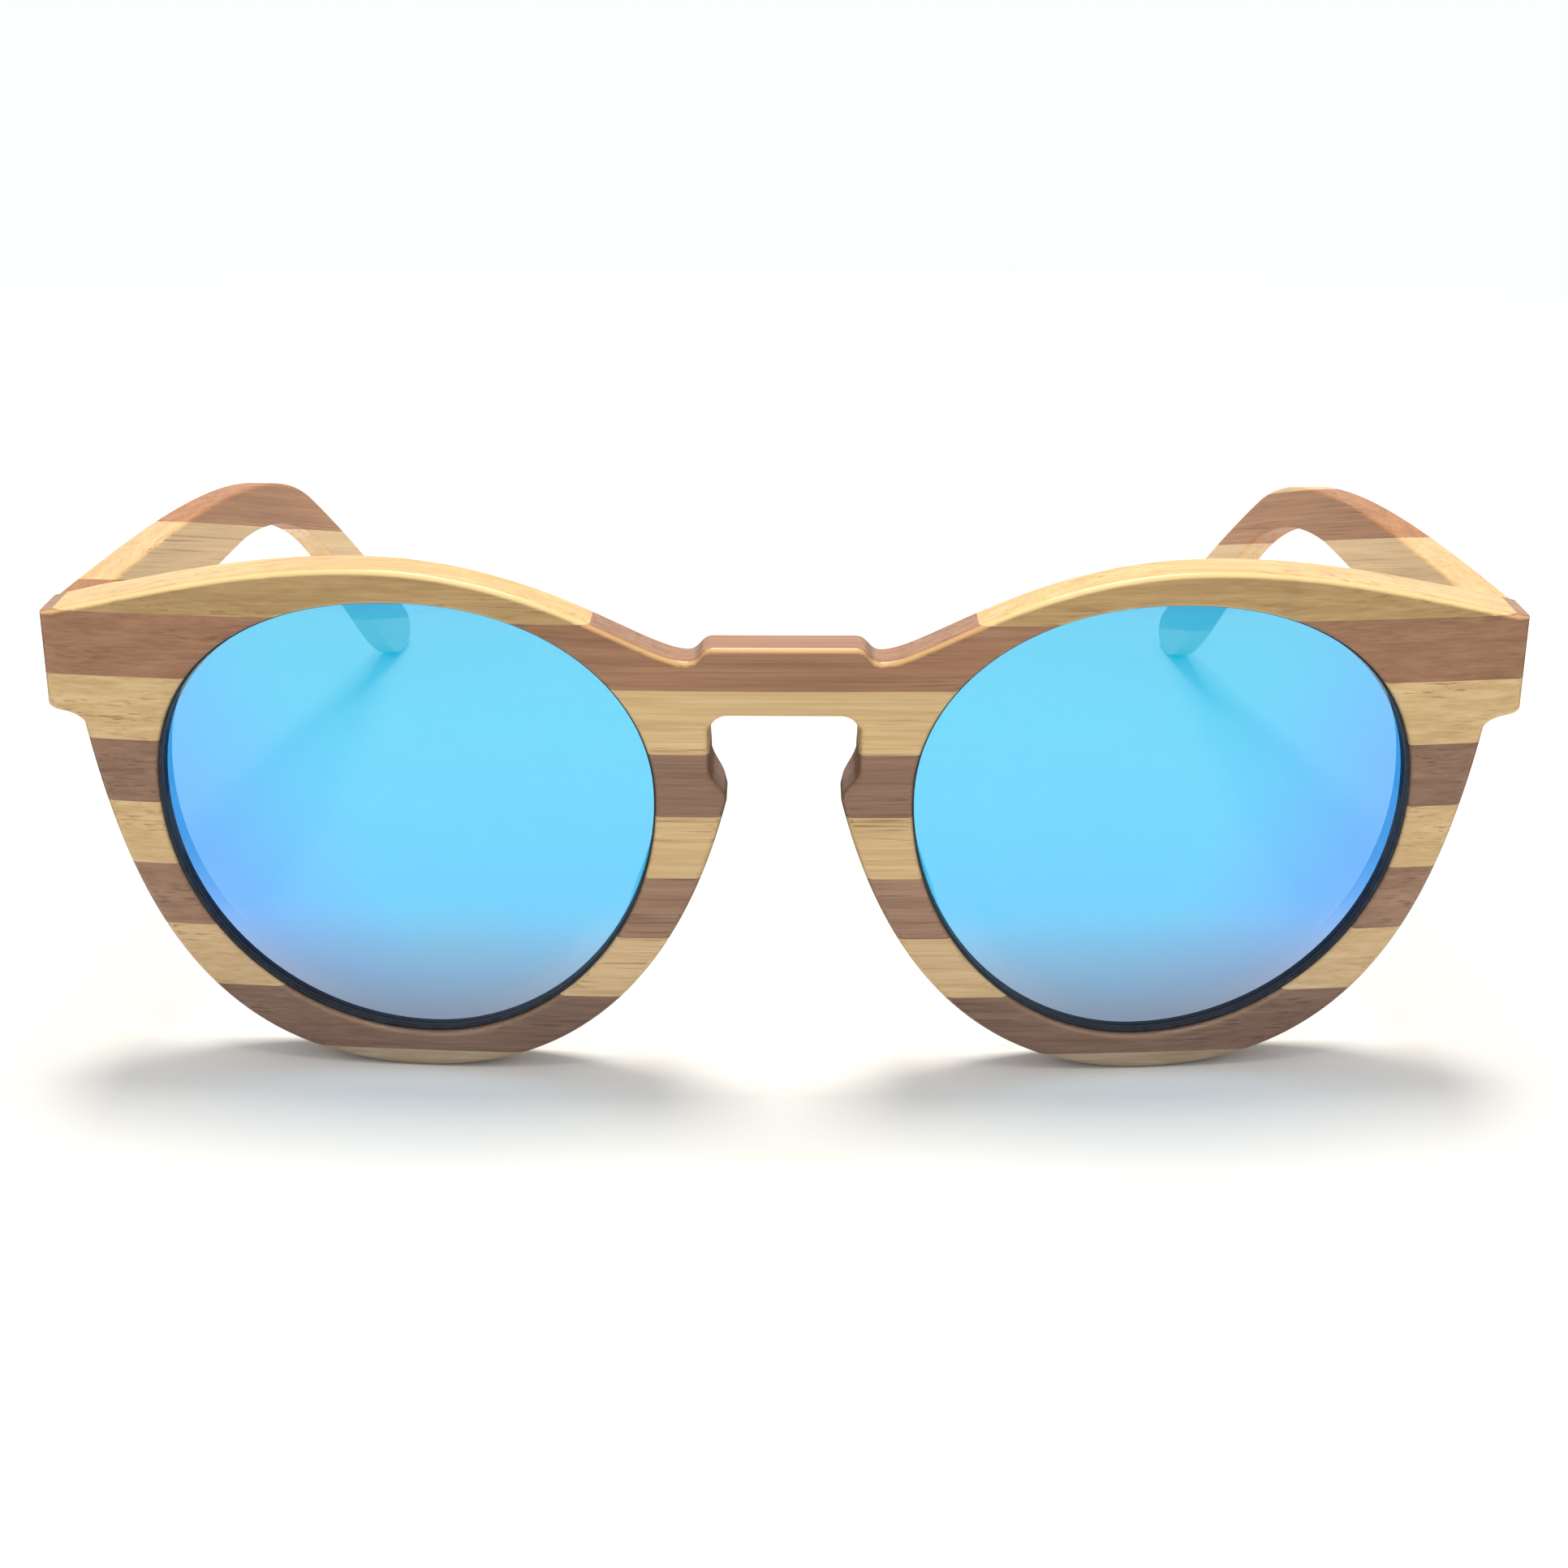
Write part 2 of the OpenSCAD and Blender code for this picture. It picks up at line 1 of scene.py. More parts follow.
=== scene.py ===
"""Folding wooden sunglasses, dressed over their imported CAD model.

The front and the temples are shaped as whole boards with rounded edges and then sawn into the
glued strips, as the real ones are laminated. Sizes are in millimetres and become metres where a
mesh is made.
"""
import logging
import math
from abc import ABC, abstractmethod
from contextlib import contextmanager
from dataclasses import dataclass, field
from enum import Enum
from typing import Callable, Iterator, Sequence

import bmesh
import bpy
from mathutils import Euler, Matrix, Vector


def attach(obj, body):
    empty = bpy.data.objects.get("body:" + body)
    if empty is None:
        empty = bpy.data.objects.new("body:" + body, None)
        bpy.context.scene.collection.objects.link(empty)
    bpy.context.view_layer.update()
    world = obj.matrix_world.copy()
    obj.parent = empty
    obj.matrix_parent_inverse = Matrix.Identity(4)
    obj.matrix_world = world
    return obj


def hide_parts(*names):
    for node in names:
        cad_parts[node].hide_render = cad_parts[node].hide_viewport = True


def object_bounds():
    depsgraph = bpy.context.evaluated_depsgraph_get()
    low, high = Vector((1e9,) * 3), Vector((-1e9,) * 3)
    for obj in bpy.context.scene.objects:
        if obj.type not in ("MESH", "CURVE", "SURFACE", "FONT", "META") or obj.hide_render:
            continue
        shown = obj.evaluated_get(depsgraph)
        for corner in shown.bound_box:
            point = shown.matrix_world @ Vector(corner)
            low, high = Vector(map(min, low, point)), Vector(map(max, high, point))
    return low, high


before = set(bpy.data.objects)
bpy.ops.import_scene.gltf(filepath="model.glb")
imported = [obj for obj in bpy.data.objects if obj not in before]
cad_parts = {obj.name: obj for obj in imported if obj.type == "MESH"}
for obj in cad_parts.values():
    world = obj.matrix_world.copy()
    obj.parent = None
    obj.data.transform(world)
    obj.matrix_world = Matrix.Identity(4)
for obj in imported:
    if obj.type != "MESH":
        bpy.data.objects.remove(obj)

Point = tuple[float, float]
Triple = tuple[float, float, float]
Colour = Triple
Floats = Sequence[float]
Plane = tuple[Vector, Vector]
Piece = bpy.types.Object
Material = bpy.types.Material
Socket = bpy.types.NodeSocket

MM = 0.001
# Reaches in metres. A cut's usual snap of a tenth of a millimetre is too coarse for these pieces.
SNAP = 1e-6
WELD = 1e-6
SAWN_WELD = 2e-6
ON_FACE = 1e-7
WHITE = (1.0, 1.0, 1.0)
log = logging.getLogger("sunglasses")
cad_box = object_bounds()
foremost = cad_box[0][1]


class Side(Enum):
    """The wearer's sides, valued by the sign of X."""

    LEFT = 1
    RIGHT = -1

    @property
    def word(self) -> str:
        """The word that the side's pieces begin with."""
        return self.name.lower()


class Tone(Enum):
    """The two woods that alternate in the lamination."""

    LIGHT = "light"
    DARK = "dark"


def linear(*levels: int) -> Colour:
    """Turn red, green and blue from 0 to 255, as seen on a screen, into light."""
    shares = (level / 255 for level in levels)
    return tuple(s / 12.92 if s <= 0.04045 else ((s + 0.055) / 1.055) ** 2.4 for s in shares)


def clamped(value: float) -> float:
    """Keep a value between 0 and 1."""
    return min(1.0, max(0.0, value))


def spot(place: Vector, digits: int) -> tuple[float, ...]:
    """Round a place, so that it can be looked up."""
    return tuple(round(c, digits) for c in place)


def bezier(start: Point, leave: Point, reach: Point, end: Point, steps: int) -> list[Point]:
    """Draw a cubic curve.

    Args:
        start: Where it starts.
        leave: Its first handle, from the start.
        reach: Its second handle, from the end.
        end: Where it ends.
        steps: How many points to give.

    Returns:
        Points along the curve, without its end.
    """
    first = (start[0] + leave[0], start[1] + leave[1])
    second = (end[0] + reach[0], end[1] + reach[1])
    ties = (start, first, second, end)
    points = []
    for i in range(steps):
        t = i / steps
        u = 1 - t
        shares = (u * u * u, 3 * u * u * t, 3 * u * t * t, t * t * t)
        points.append(tuple(sum(s * tie[k] for s, tie in zip(shares, ties)) for k in (0, 1)))
    return points


def quarter(centre: Point, a: float, b: float, power: float, start: int, steps: int) -> list[Point]:
    """Draw a quarter of a superellipse.

    Args:
        centre: Its centre.
        a: Its half width.
        b: Its half height.
        power: Its power, 2 for a plain ellipse.
        start: The angle at which the quarter starts, in degrees.
        steps: How many points to give.

    Returns:
        Points along the quarter, without its end.
    """
    points = []
    for i in range(steps):
        t = math.radians(start + 90 * i / steps)
        c, s = math.cos(t), math.sin(t)
        x = a * math.copysign(abs(c) ** (2 / power), c)
        z = b * math.copysign(abs(s) ** (2 / power), s)
        points.append((centre[0] + x, centre[1] + z))
    return points


def inset(points: Sequence[Point], distance: float) -> list[Point]:
    """Move a closed outline inwards, or outwards for a negative distance.

    Args:
        points: The outline.
        distance: How far it moves.

    Returns:
        As many points as before, on the moved outline.
    """
    steepest = 0.6
    pairs = zip([points[-1], *points], points)
    area = sum(p[0] * q[1] - q[0] * p[1] for p, q in pairs)
    sign = 1 if area > 0 else -1
    moved = []
    for i, (x, y) in enumerate(points):
        last, following = points[i - 1], points[(i + 1) % len(points)]
        before = Vector((x - last[0], y - last[1])).normalized()
        after = Vector((following[0] - x, following[1] - y)).normalized()
        normal = Vector((-(before.y + after.y), before.x + after.x)).normalized()
        lean = max(steepest, normal.dot(Vector((-after.y, after.x))))
        moved.append((x + sign * distance * normal.x / lean, y + sign * distance * normal.y / lean))
    return moved


def round_section(front: float, back: float, depth: float, steps: int) -> list[Point]:
    """Give the edge of a board with both its corners rounded.

    Args:
        front: Radius at the first face.
        back: Radius at the second face.
        depth: Thickness of the board.
        steps: How many facets each rounding has.

    Returns:
        Pairs of inset and depth, from the first face to the second.
    """
    turns = [math.pi / 2 * i / steps for i in range(steps + 1)]
    section = [(front * (1 - math.sin(t)), front * (1 - math.cos(t))) for t in turns]
    return section + [(back * (1 - math.cos(t)), depth - back * (1 - math.sin(t))) for t in turns]


class Bench:
    """Operators used as by hand, each on the one object that is picked."""

    @staticmethod
    def pick(obj: Piece) -> None:
        """Make one object the only selected one.

        Args:
            obj: The object.
        """
        bpy.ops.object.select_all(action="DESELECT")
        obj.select_set(True)
        bpy.context.view_layer.objects.active = obj

    @staticmethod
    @contextmanager
    def editing(obj: Piece) -> Iterator[None]:
        """Open an object for editing with all of it selected, and close it afterwards.

        Args:
            obj: The object.

        Returns:
            A context in which the operators work on the object.
        """
        Bench.pick(obj)
        bpy.ops.object.mode_set(mode="EDIT")
        bpy.ops.mesh.select_all(action="SELECT")
        yield
        bpy.ops.object.mode_set(mode="OBJECT")

    @staticmethod
    def wall(name: str, rings: Sequence[Sequence[Vector]]) -> Piece:
        """Extrude a circle from ring to ring.

        Args:
            name: Name of the new object.
            rings: The places of each ring's points, in metres.

        Returns:
            An open wall that runs through the rings.
        """
        digits = 7
        bpy.ops.object.select_all(action="DESELECT")
        bpy.ops.mesh.primitive_circle_add(vertices=len(rings[0]), radius=MM)
        obj = bpy.context.object
        obj.name = name
        for vertex, place in zip(obj.data.vertices, rings[0]):
            vertex.co = place
        with Bench.editing(obj):
            for before, after in zip(rings, rings[1:]):
                bpy.ops.mesh.extrude_region_move()
                mesh = bmesh.from_edit_mesh(obj.data)
                order = {spot(place, digits): i for i, place in enumerate(before)}
                for vertex in mesh.verts:
                    if vertex.select:
                        vertex.co = after[order[spot(vertex.co, digits)]]
                bmesh.update_edit_mesh(obj.data)
        return obj

    @staticmethod
    def join(objects: Sequence[Piece]) -> Piece:
        """Join several objects.

        Args:
            objects: The objects.

        Returns:
            The first of them, which now holds them all.
        """
        Bench.pick(objects[0])
        for obj in objects[1:]:
            obj.select_set(True)
        bpy.ops.object.join()
        return objects[0]

    @staticmethod
    def fill(obj: Piece, chosen: Callable[[Vector], bool]) -> None:
        """Close the open loops whose points are chosen.

        Args:
            obj: The object to close.
            chosen: Says for a point whether it lies on such a loop.
        """
        with Bench.editing(obj):
            bpy.ops.mesh.select_all(action="DESELECT")
            mesh = bmesh.from_edit_mesh(obj.data)
            for vertex in mesh.verts:
                vertex.select = chosen(vertex.co)
            mesh.select_flush(True)
            bmesh.update_edit_mesh(obj.data)
            bpy.ops.mesh.fill(use_beauty=True)

    @staticmethod
    def outward(obj: Piece) -> None:
        """Merge doubled points and turn all faces outwards.

        Args:
            obj: The object.
        """
        with Bench.editing(obj):
            bpy.ops.mesh.remove_doubles(threshold=WELD)
            bpy.ops.mesh.normals_make_consistent(inside=False)

    @staticmethod
    def score(obj: Piece, planes: Sequence[Plane]) -> None:
        """Cut edges into a mesh along planes, so that it can be bent there.

        Args:
            obj: The object to cut.
            planes: A point and a normal for each cut.
        """
        with Bench.editing(obj):
            for place, normal in planes:
                bpy.ops.mesh.select_all(action="SELECT")
                bpy.ops.mesh.bisect(plane_co=place, plane_no=normal, threshold=SNAP)

    @staticmethod
    def copied(name: str, source: Piece) -> Piece:
        """Lay a copy of an object's mesh on the bench.

        Args:
            name: Name of the copy.
            source: The object.

        Returns:
            The copy.
        """
        piece = bpy.data.objects.new(name, source.data.copy())
        bpy.context.collection.objects.link(piece)
        return piece

    @staticmethod
    def saw(board: Piece, name: str, cuts: Sequence[Plane]) -> Piece:
        """Saw one strip out of a copy of a board.

        Args:
            board: The whole board.
            name: Name of the strip.
            cuts: A point and an outward normal for each sawn face.

        Returns:
            The closed strip.
        """
        strip = Bench.copied(name, board)
        how = {"use_fill": True, "clear_outer": True, "threshold": SNAP}
        with Bench.editing(strip):
            for place, normal in cuts:
                bpy.ops.mesh.select_all(action="SELECT")
                bpy.ops.mesh.bisect(plane_co=place, plane_no=normal, **how)
                bpy.ops.mesh.select_all(action="SELECT")
                bpy.ops.mesh.remove_doubles(threshold=SAWN_WELD)
                bpy.ops.mesh.fill_holes(sides=0)
            bpy.ops.mesh.normals_make_consistent(inside=False)
        return strip

    @staticmethod
    def smooth(obj: Piece, degrees: float = 32) -> None:
        """Shade a piece smooth, with its flat faces even.

        Args:
            obj: The piece.
            degrees: Edges sharper than this stay sharp.
        """
        Bench.pick(obj)
        bpy.ops.object.shade_smooth_by_angle(angle=math.radians(degrees))
        obj.modifiers.new("even_faces", "WEIGHTED_NORMAL").keep_sharp = True
        bpy.ops.object.modifier_apply(modifier="even_faces")

    @staticmethod
    def drop(obj: Piece) -> None:
        """Take a helper object off the bench."""
        bpy.data.objects.remove(obj, do_unlink=True)


class Graph:
    """The nodes of a material or of the world, with the shader that they feed."""

    def __init__(self, block: bpy.types.ID, shader: str) -> None:
        """Open the nodes of a new block.

        Args:
            block: The material or the world.
            shader: Name of its shader node.
        """
        block.use_nodes = True
        self.block = block
        self.tree = block.node_tree
        self.shader = self.tree.nodes[shader]

    @classmethod
    def material(cls, name: str) -> "Graph":
        """Start a material of that name."""
        return cls(bpy.data.materials.new(name), "Principled BSDF")

    def node(self, kind: str, **inputs: object) -> bpy.types.Node:
        """Add a node.

        Args:
            kind: Its type, without ShaderNode.
            inputs: Its settings, or its sockets by name with _ for a space: a value, or a socket.

        Returns:
            The node.
        """
        node = self.tree.nodes.new("ShaderNode" + kind)
        for key, value in inputs.items():
            if hasattr(node, key):
                setattr(node, key, value)
            else:
                self.feed(node.inputs[key.replace("_", " ")], value)
        return node

    def feed(self, socket: Socket, value: object) -> None:
        """Link a socket or set its value.

        Args:
            socket: The socket to feed.
            value: What it gets: another socket, or a plain value.
        """
        if isinstance(value, Socket):
            self.tree.links.new(value, socket)
        else:
            socket.default_value = value

    def surface(self, **inputs: object) -> None:
        """Feed the shader's sockets, named with _ for a space."""
        for key, value in inputs.items():
            self.feed(self.shader.inputs[key.replace("_", " ")], value)

    def coordinates(self, kind: str) -> Socket:
        """The surface's own coordinates of that kind."""
        return self.node("TexCoord").outputs[kind]

    def place(self, turn: Floats = (0, 0, 0), shift: Floats = (0, 0, 0)) -> Socket:
        """Object coordinates in millimetres, turned and shifted."""
        how = {"Rotation": turn, "Scale": (1 / MM,) * 3, "Location": shift}
        return self.node("Mapping", Vector=self.coordinates("Object"), **how).outputs[0]

    def noise(
        self,
        place: Socket,
        scale: Floats,
        detail: float,
        rough: float = 0.55,
        bend: float = 0.0,
    ) -> Socket:
        """Lay noise over coordinates.

        Args:
            place: The coordinates.
            scale: Waves per unit along each axis.
            detail: How many finer octaves it has.
            rough: How strong those are.
            bend: How far it is distorted.

        Returns:
            A value from 0 to 1.
        """
        scaled = self.node("Mapping", Vector=place, Scale=scale).outputs[0]
        how = {"Scale": 1.0, "Detail": detail, "Roughness": rough, "Distortion": bend}
        return self.node("TexNoise", Vector=scaled, **how).outputs["Fac"]

    def span(
        self,
        value: Socket,
        low: float,
        high: float,
        to_low: float = 0.0,
        to_high: float = 1.0,
        soft: bool = False,
    ) -> Socket:
        """Stretch a value between two limits onto a range.

        Args:
            value: The value.
            low: Its first limit.
            high: Its second limit.
            to_low: What the first limit becomes.
            to_high: What the second limit becomes.
            soft: Whether it eases in and out.

        Returns:
            The stretched value.
        """
        how = {"From_Min": low, "From_Max": high, "To_Min": to_low, "To_Max": to_high}
        kind = "SMOOTHSTEP" if soft else "LINEAR"
        return self.node("MapRange", interpolation_type=kind, Value=value, **how).outputs[0]

    def mix(self, share: object, a: object, b: object, how: str = "MIX") -> Socket:
        """Mix two colours.

        Args:
            share: Share of the second colour.
            a: The first colour.
            b: The second colour.
            how: The way of mixing.

        Returns:
            The mixed colour.
        """
        node = self.node("Mix", data_type="RGBA", blend_type=how)
        for index, value in ((0, share), (6, a), (7, b)):
            if isinstance(value, tuple):
                value = (*value, 1.0)
            self.feed(node.inputs[index], value)
        return node.outputs[2]

    def math(self, how: str, *values: object) -> Socket:
        """Reckon with values from left to right.

        Args:
            how: The way of reckoning.
            values: The values.

        Returns:
            The result.
        """
        result = values[0]
        for other in values[1:] or (0.0,):
            node = self.node("Math", operation=how)
            self.feed(node.inputs[0], result)
            self.feed(node.inputs[1], other)
            result = node.outputs[0]
        return result

    def total(self, *values: object) -> Socket:
        """Add values up."""
        return self.math("ADD", *values)

    def product(self, *values: object) -> Socket:
        """Multiply values."""
        return self.math("MULTIPLY", *values)

    def facing(self, axis: str, turn: Floats = (0, 0, 0)) -> Socket:
        """How squarely, from -1 to 1, the surface faces along an axis once it is turned."""
        turned = self.node("Mapping", Vector=self.coordinates("Normal"), Rotation=turn).outputs[0]
        return self.node("SeparateXYZ", Vector=turned).outputs[axis]

    def bump(self, height: Socket, strength: float, distance: float) -> None:
        """Give the surface a relief."""
        node = self.node("Bump", Height=height, Strength=strength, Distance=distance)
        self.surface(Normal=node.outputs[0])


@dataclass(frozen=True)
class WoodFinish:
    """Oiled bamboo with fibres along the grain and short dark vessels, with a painted highlight on
    its upper edges.
    """

    slot: str
    pale: Colour
    deep: Colour
    vessel: Colour
    # Colour of the painted highlight on upper edges.
    gleam_colour: Colour
    vessel_share: float
    drift: float
    gloss: Point = (0.52, 0.36)
    coat_gloss: float = 0.2
    end_grain: float = 0.5
    end_coat: float = 0.05
    relief: Point = (0.14, 0.0001)
    seed_shift: Triple = (37.0, 11.3, 23.7)

    def material(
        self,
        name: str,
        seed: int,
        turn: Floats,
        tint: Colour = WHITE,
        face: float = 1.0,
        sanding: float = 0.15,
        ring_x: float | None = None,
        coat: float = 0.55,
    ) -> Material:
        """Make the finish for one strip.

        Args:
            name: Name of the material.
            seed: Number of the strip, which shifts the grain.
            turn: Rotation that lays the grain along X, in radians.
            tint: How this strip's colour differs from the others.
            face: Brightness of the faces across Y against the edges: painted shade, drawing those
                faces darker than the tops that get more light.
            sanding: How far the upward-facing edges are painted towards a pale colour: a painted
                highlight where light from above catches them.
            ring_x: Where a growth ring of the bamboo crosses the strip, in millimetres.
            coat: Weight of the varnish.

        Returns:
            The material.
        """
        g = Graph.material(name)
        woods = (self.pale, self.deep, self.vessel)
        pale, deep, vessel = (tuple(c * t for c, t in zip(wood, tint)) for wood in woods)
        grain = g.place(turn, tuple(shift * seed for shift in self.seed_shift))
        fibre = g.noise(grain, (0.022, 1.1, 1.1), detail=6.0, rough=0.64, bend=0.10)
        hair = g.noise(grain, (0.06, 4.6, 4.6), detail=3.0)
        broad = g.noise(grain, (0.014, 0.16, 0.16), detail=2.0)
        cluster = g.noise(grain, (0.03, 0.26, 0.26), detail=2.0)
        dash = g.noise(grain, (0.032, 3.8, 3.8), detail=2.0, rough=0.5, bend=0.12)
        streak = g.total(g.product(fibre, 0.65), g.product(hair, 0.35))
        cut_across = g.math("ABSOLUTE", g.facing("X", turn))
        broad_side = g.math("ABSOLUTE", g.facing("Y"))
        # The face factor draws faces across Y darker than the tops: painted shade.
        level = g.product(
            g.span(broad, 0.3, 0.7, 1 - self.drift, 1 + self.drift),
            g.span(cut_across, 0.55, 0.95, 1.0, self.end_grain),
            g.span(broad_side, 0.55, 0.95, 1.0, face),
        )
        if ring_x is not None:
            level = g.product(level, self.ring(g, ring_x))
        level = g.node("CombineColor", Red=level, Green=level, Blue=level).outputs[0]
        lit = g.mix(1.0, g.mix(g.span(streak, 0.38, 0.62), deep, pale), level, "MULTIPLY")
        found = g.product(g.span(dash, 0.55, 0.68), g.span(cluster, 0.42, 0.60))
        grown = g.mix(g.product(found, self.vessel_share), lit, vessel)
        # Painted highlight: edges that face both forward and up are mixed towards the pale edge
        # colour, where light from above catches them.
        painted_gleam = g.span(g.product(broad_side, g.facing("Z")), 0.28, 0.46, 0.0, sanding)
        g.surface(
            Base_Color=g.mix(painted_gleam, grown, self.gleam_colour),
            Roughness=g.span(streak, 0.3, 0.7, *self.gloss),
            Specular_IOR_Level=0.0,
            Coat_Weight=g.span(cut_across, 0.5, 0.9, coat, self.end_coat),
            Coat_Roughness=self.coat_gloss,
        )
        g.bump(g.total(hair, g.product(found, -0.6)), *self.relief)
        return g.block

    @staticmethod
    def ring(g: Graph, x: float) -> Socket:
        """Darken a wavering band across the grain, where the bamboo stem had a joint.

        Args:
            g: The material's nodes.
            x: Where the band lies.

        Returns:
            The brightness along the strip.
        """
        place = g.place(shift=(-x, 0, 0))
        waver = g.product(g.noise(place, (0.2, 0.5, 0.5), detail=2.0), 3.0)
        off = g.total(g.node("SeparateXYZ", Vector=place).outputs["X"], g.total(waver, -1.5))
        return g.span(g.math("ABSOLUTE", off), 0.2, 1.5, 0.9, 1.0, soft=True)


@dataclass(frozen=True)
class LensFinish:
    """A blue mirror coat over a clear grey lens, cyan in the middle and violet outside."""

    slot: str
    middle: Colour
    rim: Colour
    # Colour of the lower part: a painted reflection of the floor's shadow just in front.
    foot: Colour
    through: Colour
    mirror: float
    gloss: float = 0.03
    low_violet: float = 0.36
    back_share: float = 0.10

    def coat(self, name: str, centre: Point) -> Material:
        """Make the coat on the outer face of one lens.

        Args:
            name: Name of the material.
            centre: X and Z of the middle of the lens, in millimetres.

        Returns:
            The material.
        """
        g = Graph.material(name)
        place = g.place(shift=(-centre[0], 0, -centre[1]))
        parts = g.node("SeparateXYZ", Vector=place).outputs
        outward = g.product(parts["X"], math.copysign(1.0, centre[0]))
        cloud = g.noise(place, (0.04,) * 3, detail=2.0)
        drift = g.total(outward, g.product(cloud, 10.0), g.product(parts["Z"], -0.7))
        lower = g.span(parts["Z"], 12.0, -14.0, 0.0, self.low_violet)
        violet = g.math("MAXIMUM", g.span(drift, 2.0, 32.0, soft=True), lower)
        # The lower part is painted greyer: a painted reflection of the shadow on the floor in front
        # of the glasses.
        low = g.span(g.total(parts["Z"], g.product(cloud, 4.0)), -5.0, -21.0, soft=True)
        tint = g.mix(low, g.mix(violet, self.middle, self.rim), self.foot)
        # Near the lower edge the coat closes and lets no light through; white is mixed into the
        # mirror there, more of it low down: painted light standing in for the bright floor the lens
        # would show through.
        edge = g.node("Attribute", attribute_name="edge").outputs["Fac"]
        closed = g.product(edge, 1 - self.mirror)
        white = g.product(closed, g.span(low, 0.0, 1.0, 0.75, 1.4))
        g.surface(Base_Color=g.mix(white, tint, WHITE), Metallic=1.0, Roughness=self.gloss)
        return self.see_through(g, g.total(closed, self.mirror))

    def back(self, name: str) -> Material:
        """Make the plain polished back and edge of a lens.

        Args:
            name: Name of the material.

        Returns:
            The material.
        """
        g = Graph.material(name)
        haze = g.noise(g.place(), (0.3,) * 3, detail=2.0)
        grey = g.mix(haze, linear(60, 66, 74), linear(78, 84, 92))
        g.surface(Base_Color=grey, Roughness=self.gloss)
        return self.see_through(g, self.back_share)

    def see_through(self, g: Graph, share: object) -> Material:
        """Let light through a material.

        Args:
            g: The material's nodes.
            share: Share of the surface that lets no light through, as a value or a socket.

        Returns:
            The material.
        """
        clear = g.node("BsdfTransparent", Color=(*self.through, 1.0))
        both = g.node("MixShader", Fac=share)
        g.feed(both.inputs[1], clear.outputs[0])
        g.feed(both.inputs[2], g.shader.outputs[0])
        g.feed(g.tree.nodes["Material Output"].inputs["Surface"], both.outputs[0])
        return g.block


@dataclass(frozen=True)
class BeadFinish:
    """Smooth black plastic with a faint mottle in its gloss."""

    slot: str
    colour: Colour
    worn: Colour
    gloss: Point = (0.38, 0.52)
    specular: float = 0.3
    relief: Point = (0.06, 0.00005)

    def material(self, name: str) -> Material:
        """Make the finish.

        Args:
            name: Name of the material.

        Returns:
            The material.
        """
        g = Graph.material(name)
        mottle = g.noise(g.place(), (0.9,) * 3, detail=4.0)
        g.surface(
            Base_Color=g.mix(g.span(mottle, 0.35, 0.75), self.colour, self.worn),
            Roughness=g.span(mottle, 0.3, 0.7, *self.gloss),
            Specular_IOR_Level=self.specular,
        )
        g.bump(mottle, *self.relief)
        return g.block


@dataclass(frozen=True)
class SteelFinish:
    """Brushed steel with fine scratches along one axis."""

    slot: str
    colour: Colour
    dull: Colour
    gloss: Point = (0.22, 0.44)
    relief: Point = (0.10, 0.00004)

    def material(self, name: str) -> Material:
        """Make the finish.

        Args:
            name: Name of the material.

        Returns:
            The material.
        """
        g = Graph.material(name)
        place = g.place()
        scratch = g.noise(place, (2.0, 2.0, 22.0), detail=4.0, rough=0.6)
        stain = g.noise(place, (0.5,) * 3, detail=3.0)
        g.surface(
            Base_Color=g.mix(g.span(stain, 0.35, 0.7), self.colour, self.dull),
            Metallic=1.0,
            Roughness=g.span(scratch, 0.3, 0.7, *self.gloss),
        )
        g.bump(scratch, *self.relief)
        return g.block


# The pale edge colour of each wood is a painted highlight, laid on upward-facing edges.
WOODS = {
    Tone.LIGHT: WoodFinish(
        slot="light_wood",
        pale=linear(221, 191, 140),
        deep=linear(198, 164, 113),
        vessel=linear(136, 98, 60),
        gleam_colour=linear(246, 216, 156),
        vessel_share=0.65,
        drift=0.06,
    ),
    Tone.DARK: WoodFinish(
        slot="dark_wood",
        pale=linear(168, 125, 95),
        deep=linear(142, 101, 75),
        vessel=linear(96, 66, 50),
        gleam_colour=linear(226, 180, 122),
        vessel_share=0.6,
        drift=0.07,
    ),
}
COAT = LensFinish(
    slot="lens_blue",
    middle=(0.004, 0.505, 0.83),
    rim=(0.035, 0.31, 0.87),
    foot=(0.20, 0.325, 0.54),
    through=(0.84, 0.94, 1.0),
    mirror=0.78,
)
BLACK = BeadFinish("bead_black", linear(16, 18, 23), linear(44, 51, 62))
HINGE_STEEL = SteelFinish("hinge_steel", linear(214, 212, 208), linear(180, 178, 176))
SCREW_STEEL = SteelFinish("screw_steel", linear(226, 224, 220), linear(196, 194, 190))


def dress(piece: Piece, material: Material, body: str, slot: str, *nodes: str) -> None:
    """Give a piece its finish and its place in the frame.

    Args:
        piece: The piece.
        material: Its finish.
        body: The body that it rides on.
        slot: The slot of that finish; not used.
        nodes: The CAD nodes that it stands for.
    """
    piece.data.materials.clear()
    piece.data.materials.append(material)
    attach(piece, body)
    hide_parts(*nodes)
    log.info("%s: %d faces on %s", piece.name, len(piece.data.polygons), body)


class Laminate(ABC):
    """A board that is glued up from strips, light and dark in turn."""

    body: str
    strips: int

    @abstractmethod
    def board(self) -> Piece:
        """Shape the whole board."""

    @abstractmethod
    def cuts(self, k: int) -> list[Plane]:
        """The sawn faces of strip k, each as a point and an outward normal."""

    @abstractmethod
    def finish(self, k: int, tone: Tone, name: str) -> Material:
        """The material of strip k."""

    def build(self) -> None:
        """Saw the board into its strips and dress them."""
        board = self.board()
        for k in range(1, self.strips + 1):
            tone = Tone.LIGHT if k % 2 else Tone.DARK
            node = f"{self.body}_strip_{k}_{tone.value}"
            strip = Bench.saw(board, f"wood_{node}", self.cuts(k))
            Bench.smooth(strip)
            material = self.finish(k, tone, f"{tone.value}_{self.body}_{k}")
            dress(strip, material, self.body, WOODS[tone].slot, node)
        Bench.drop(board)


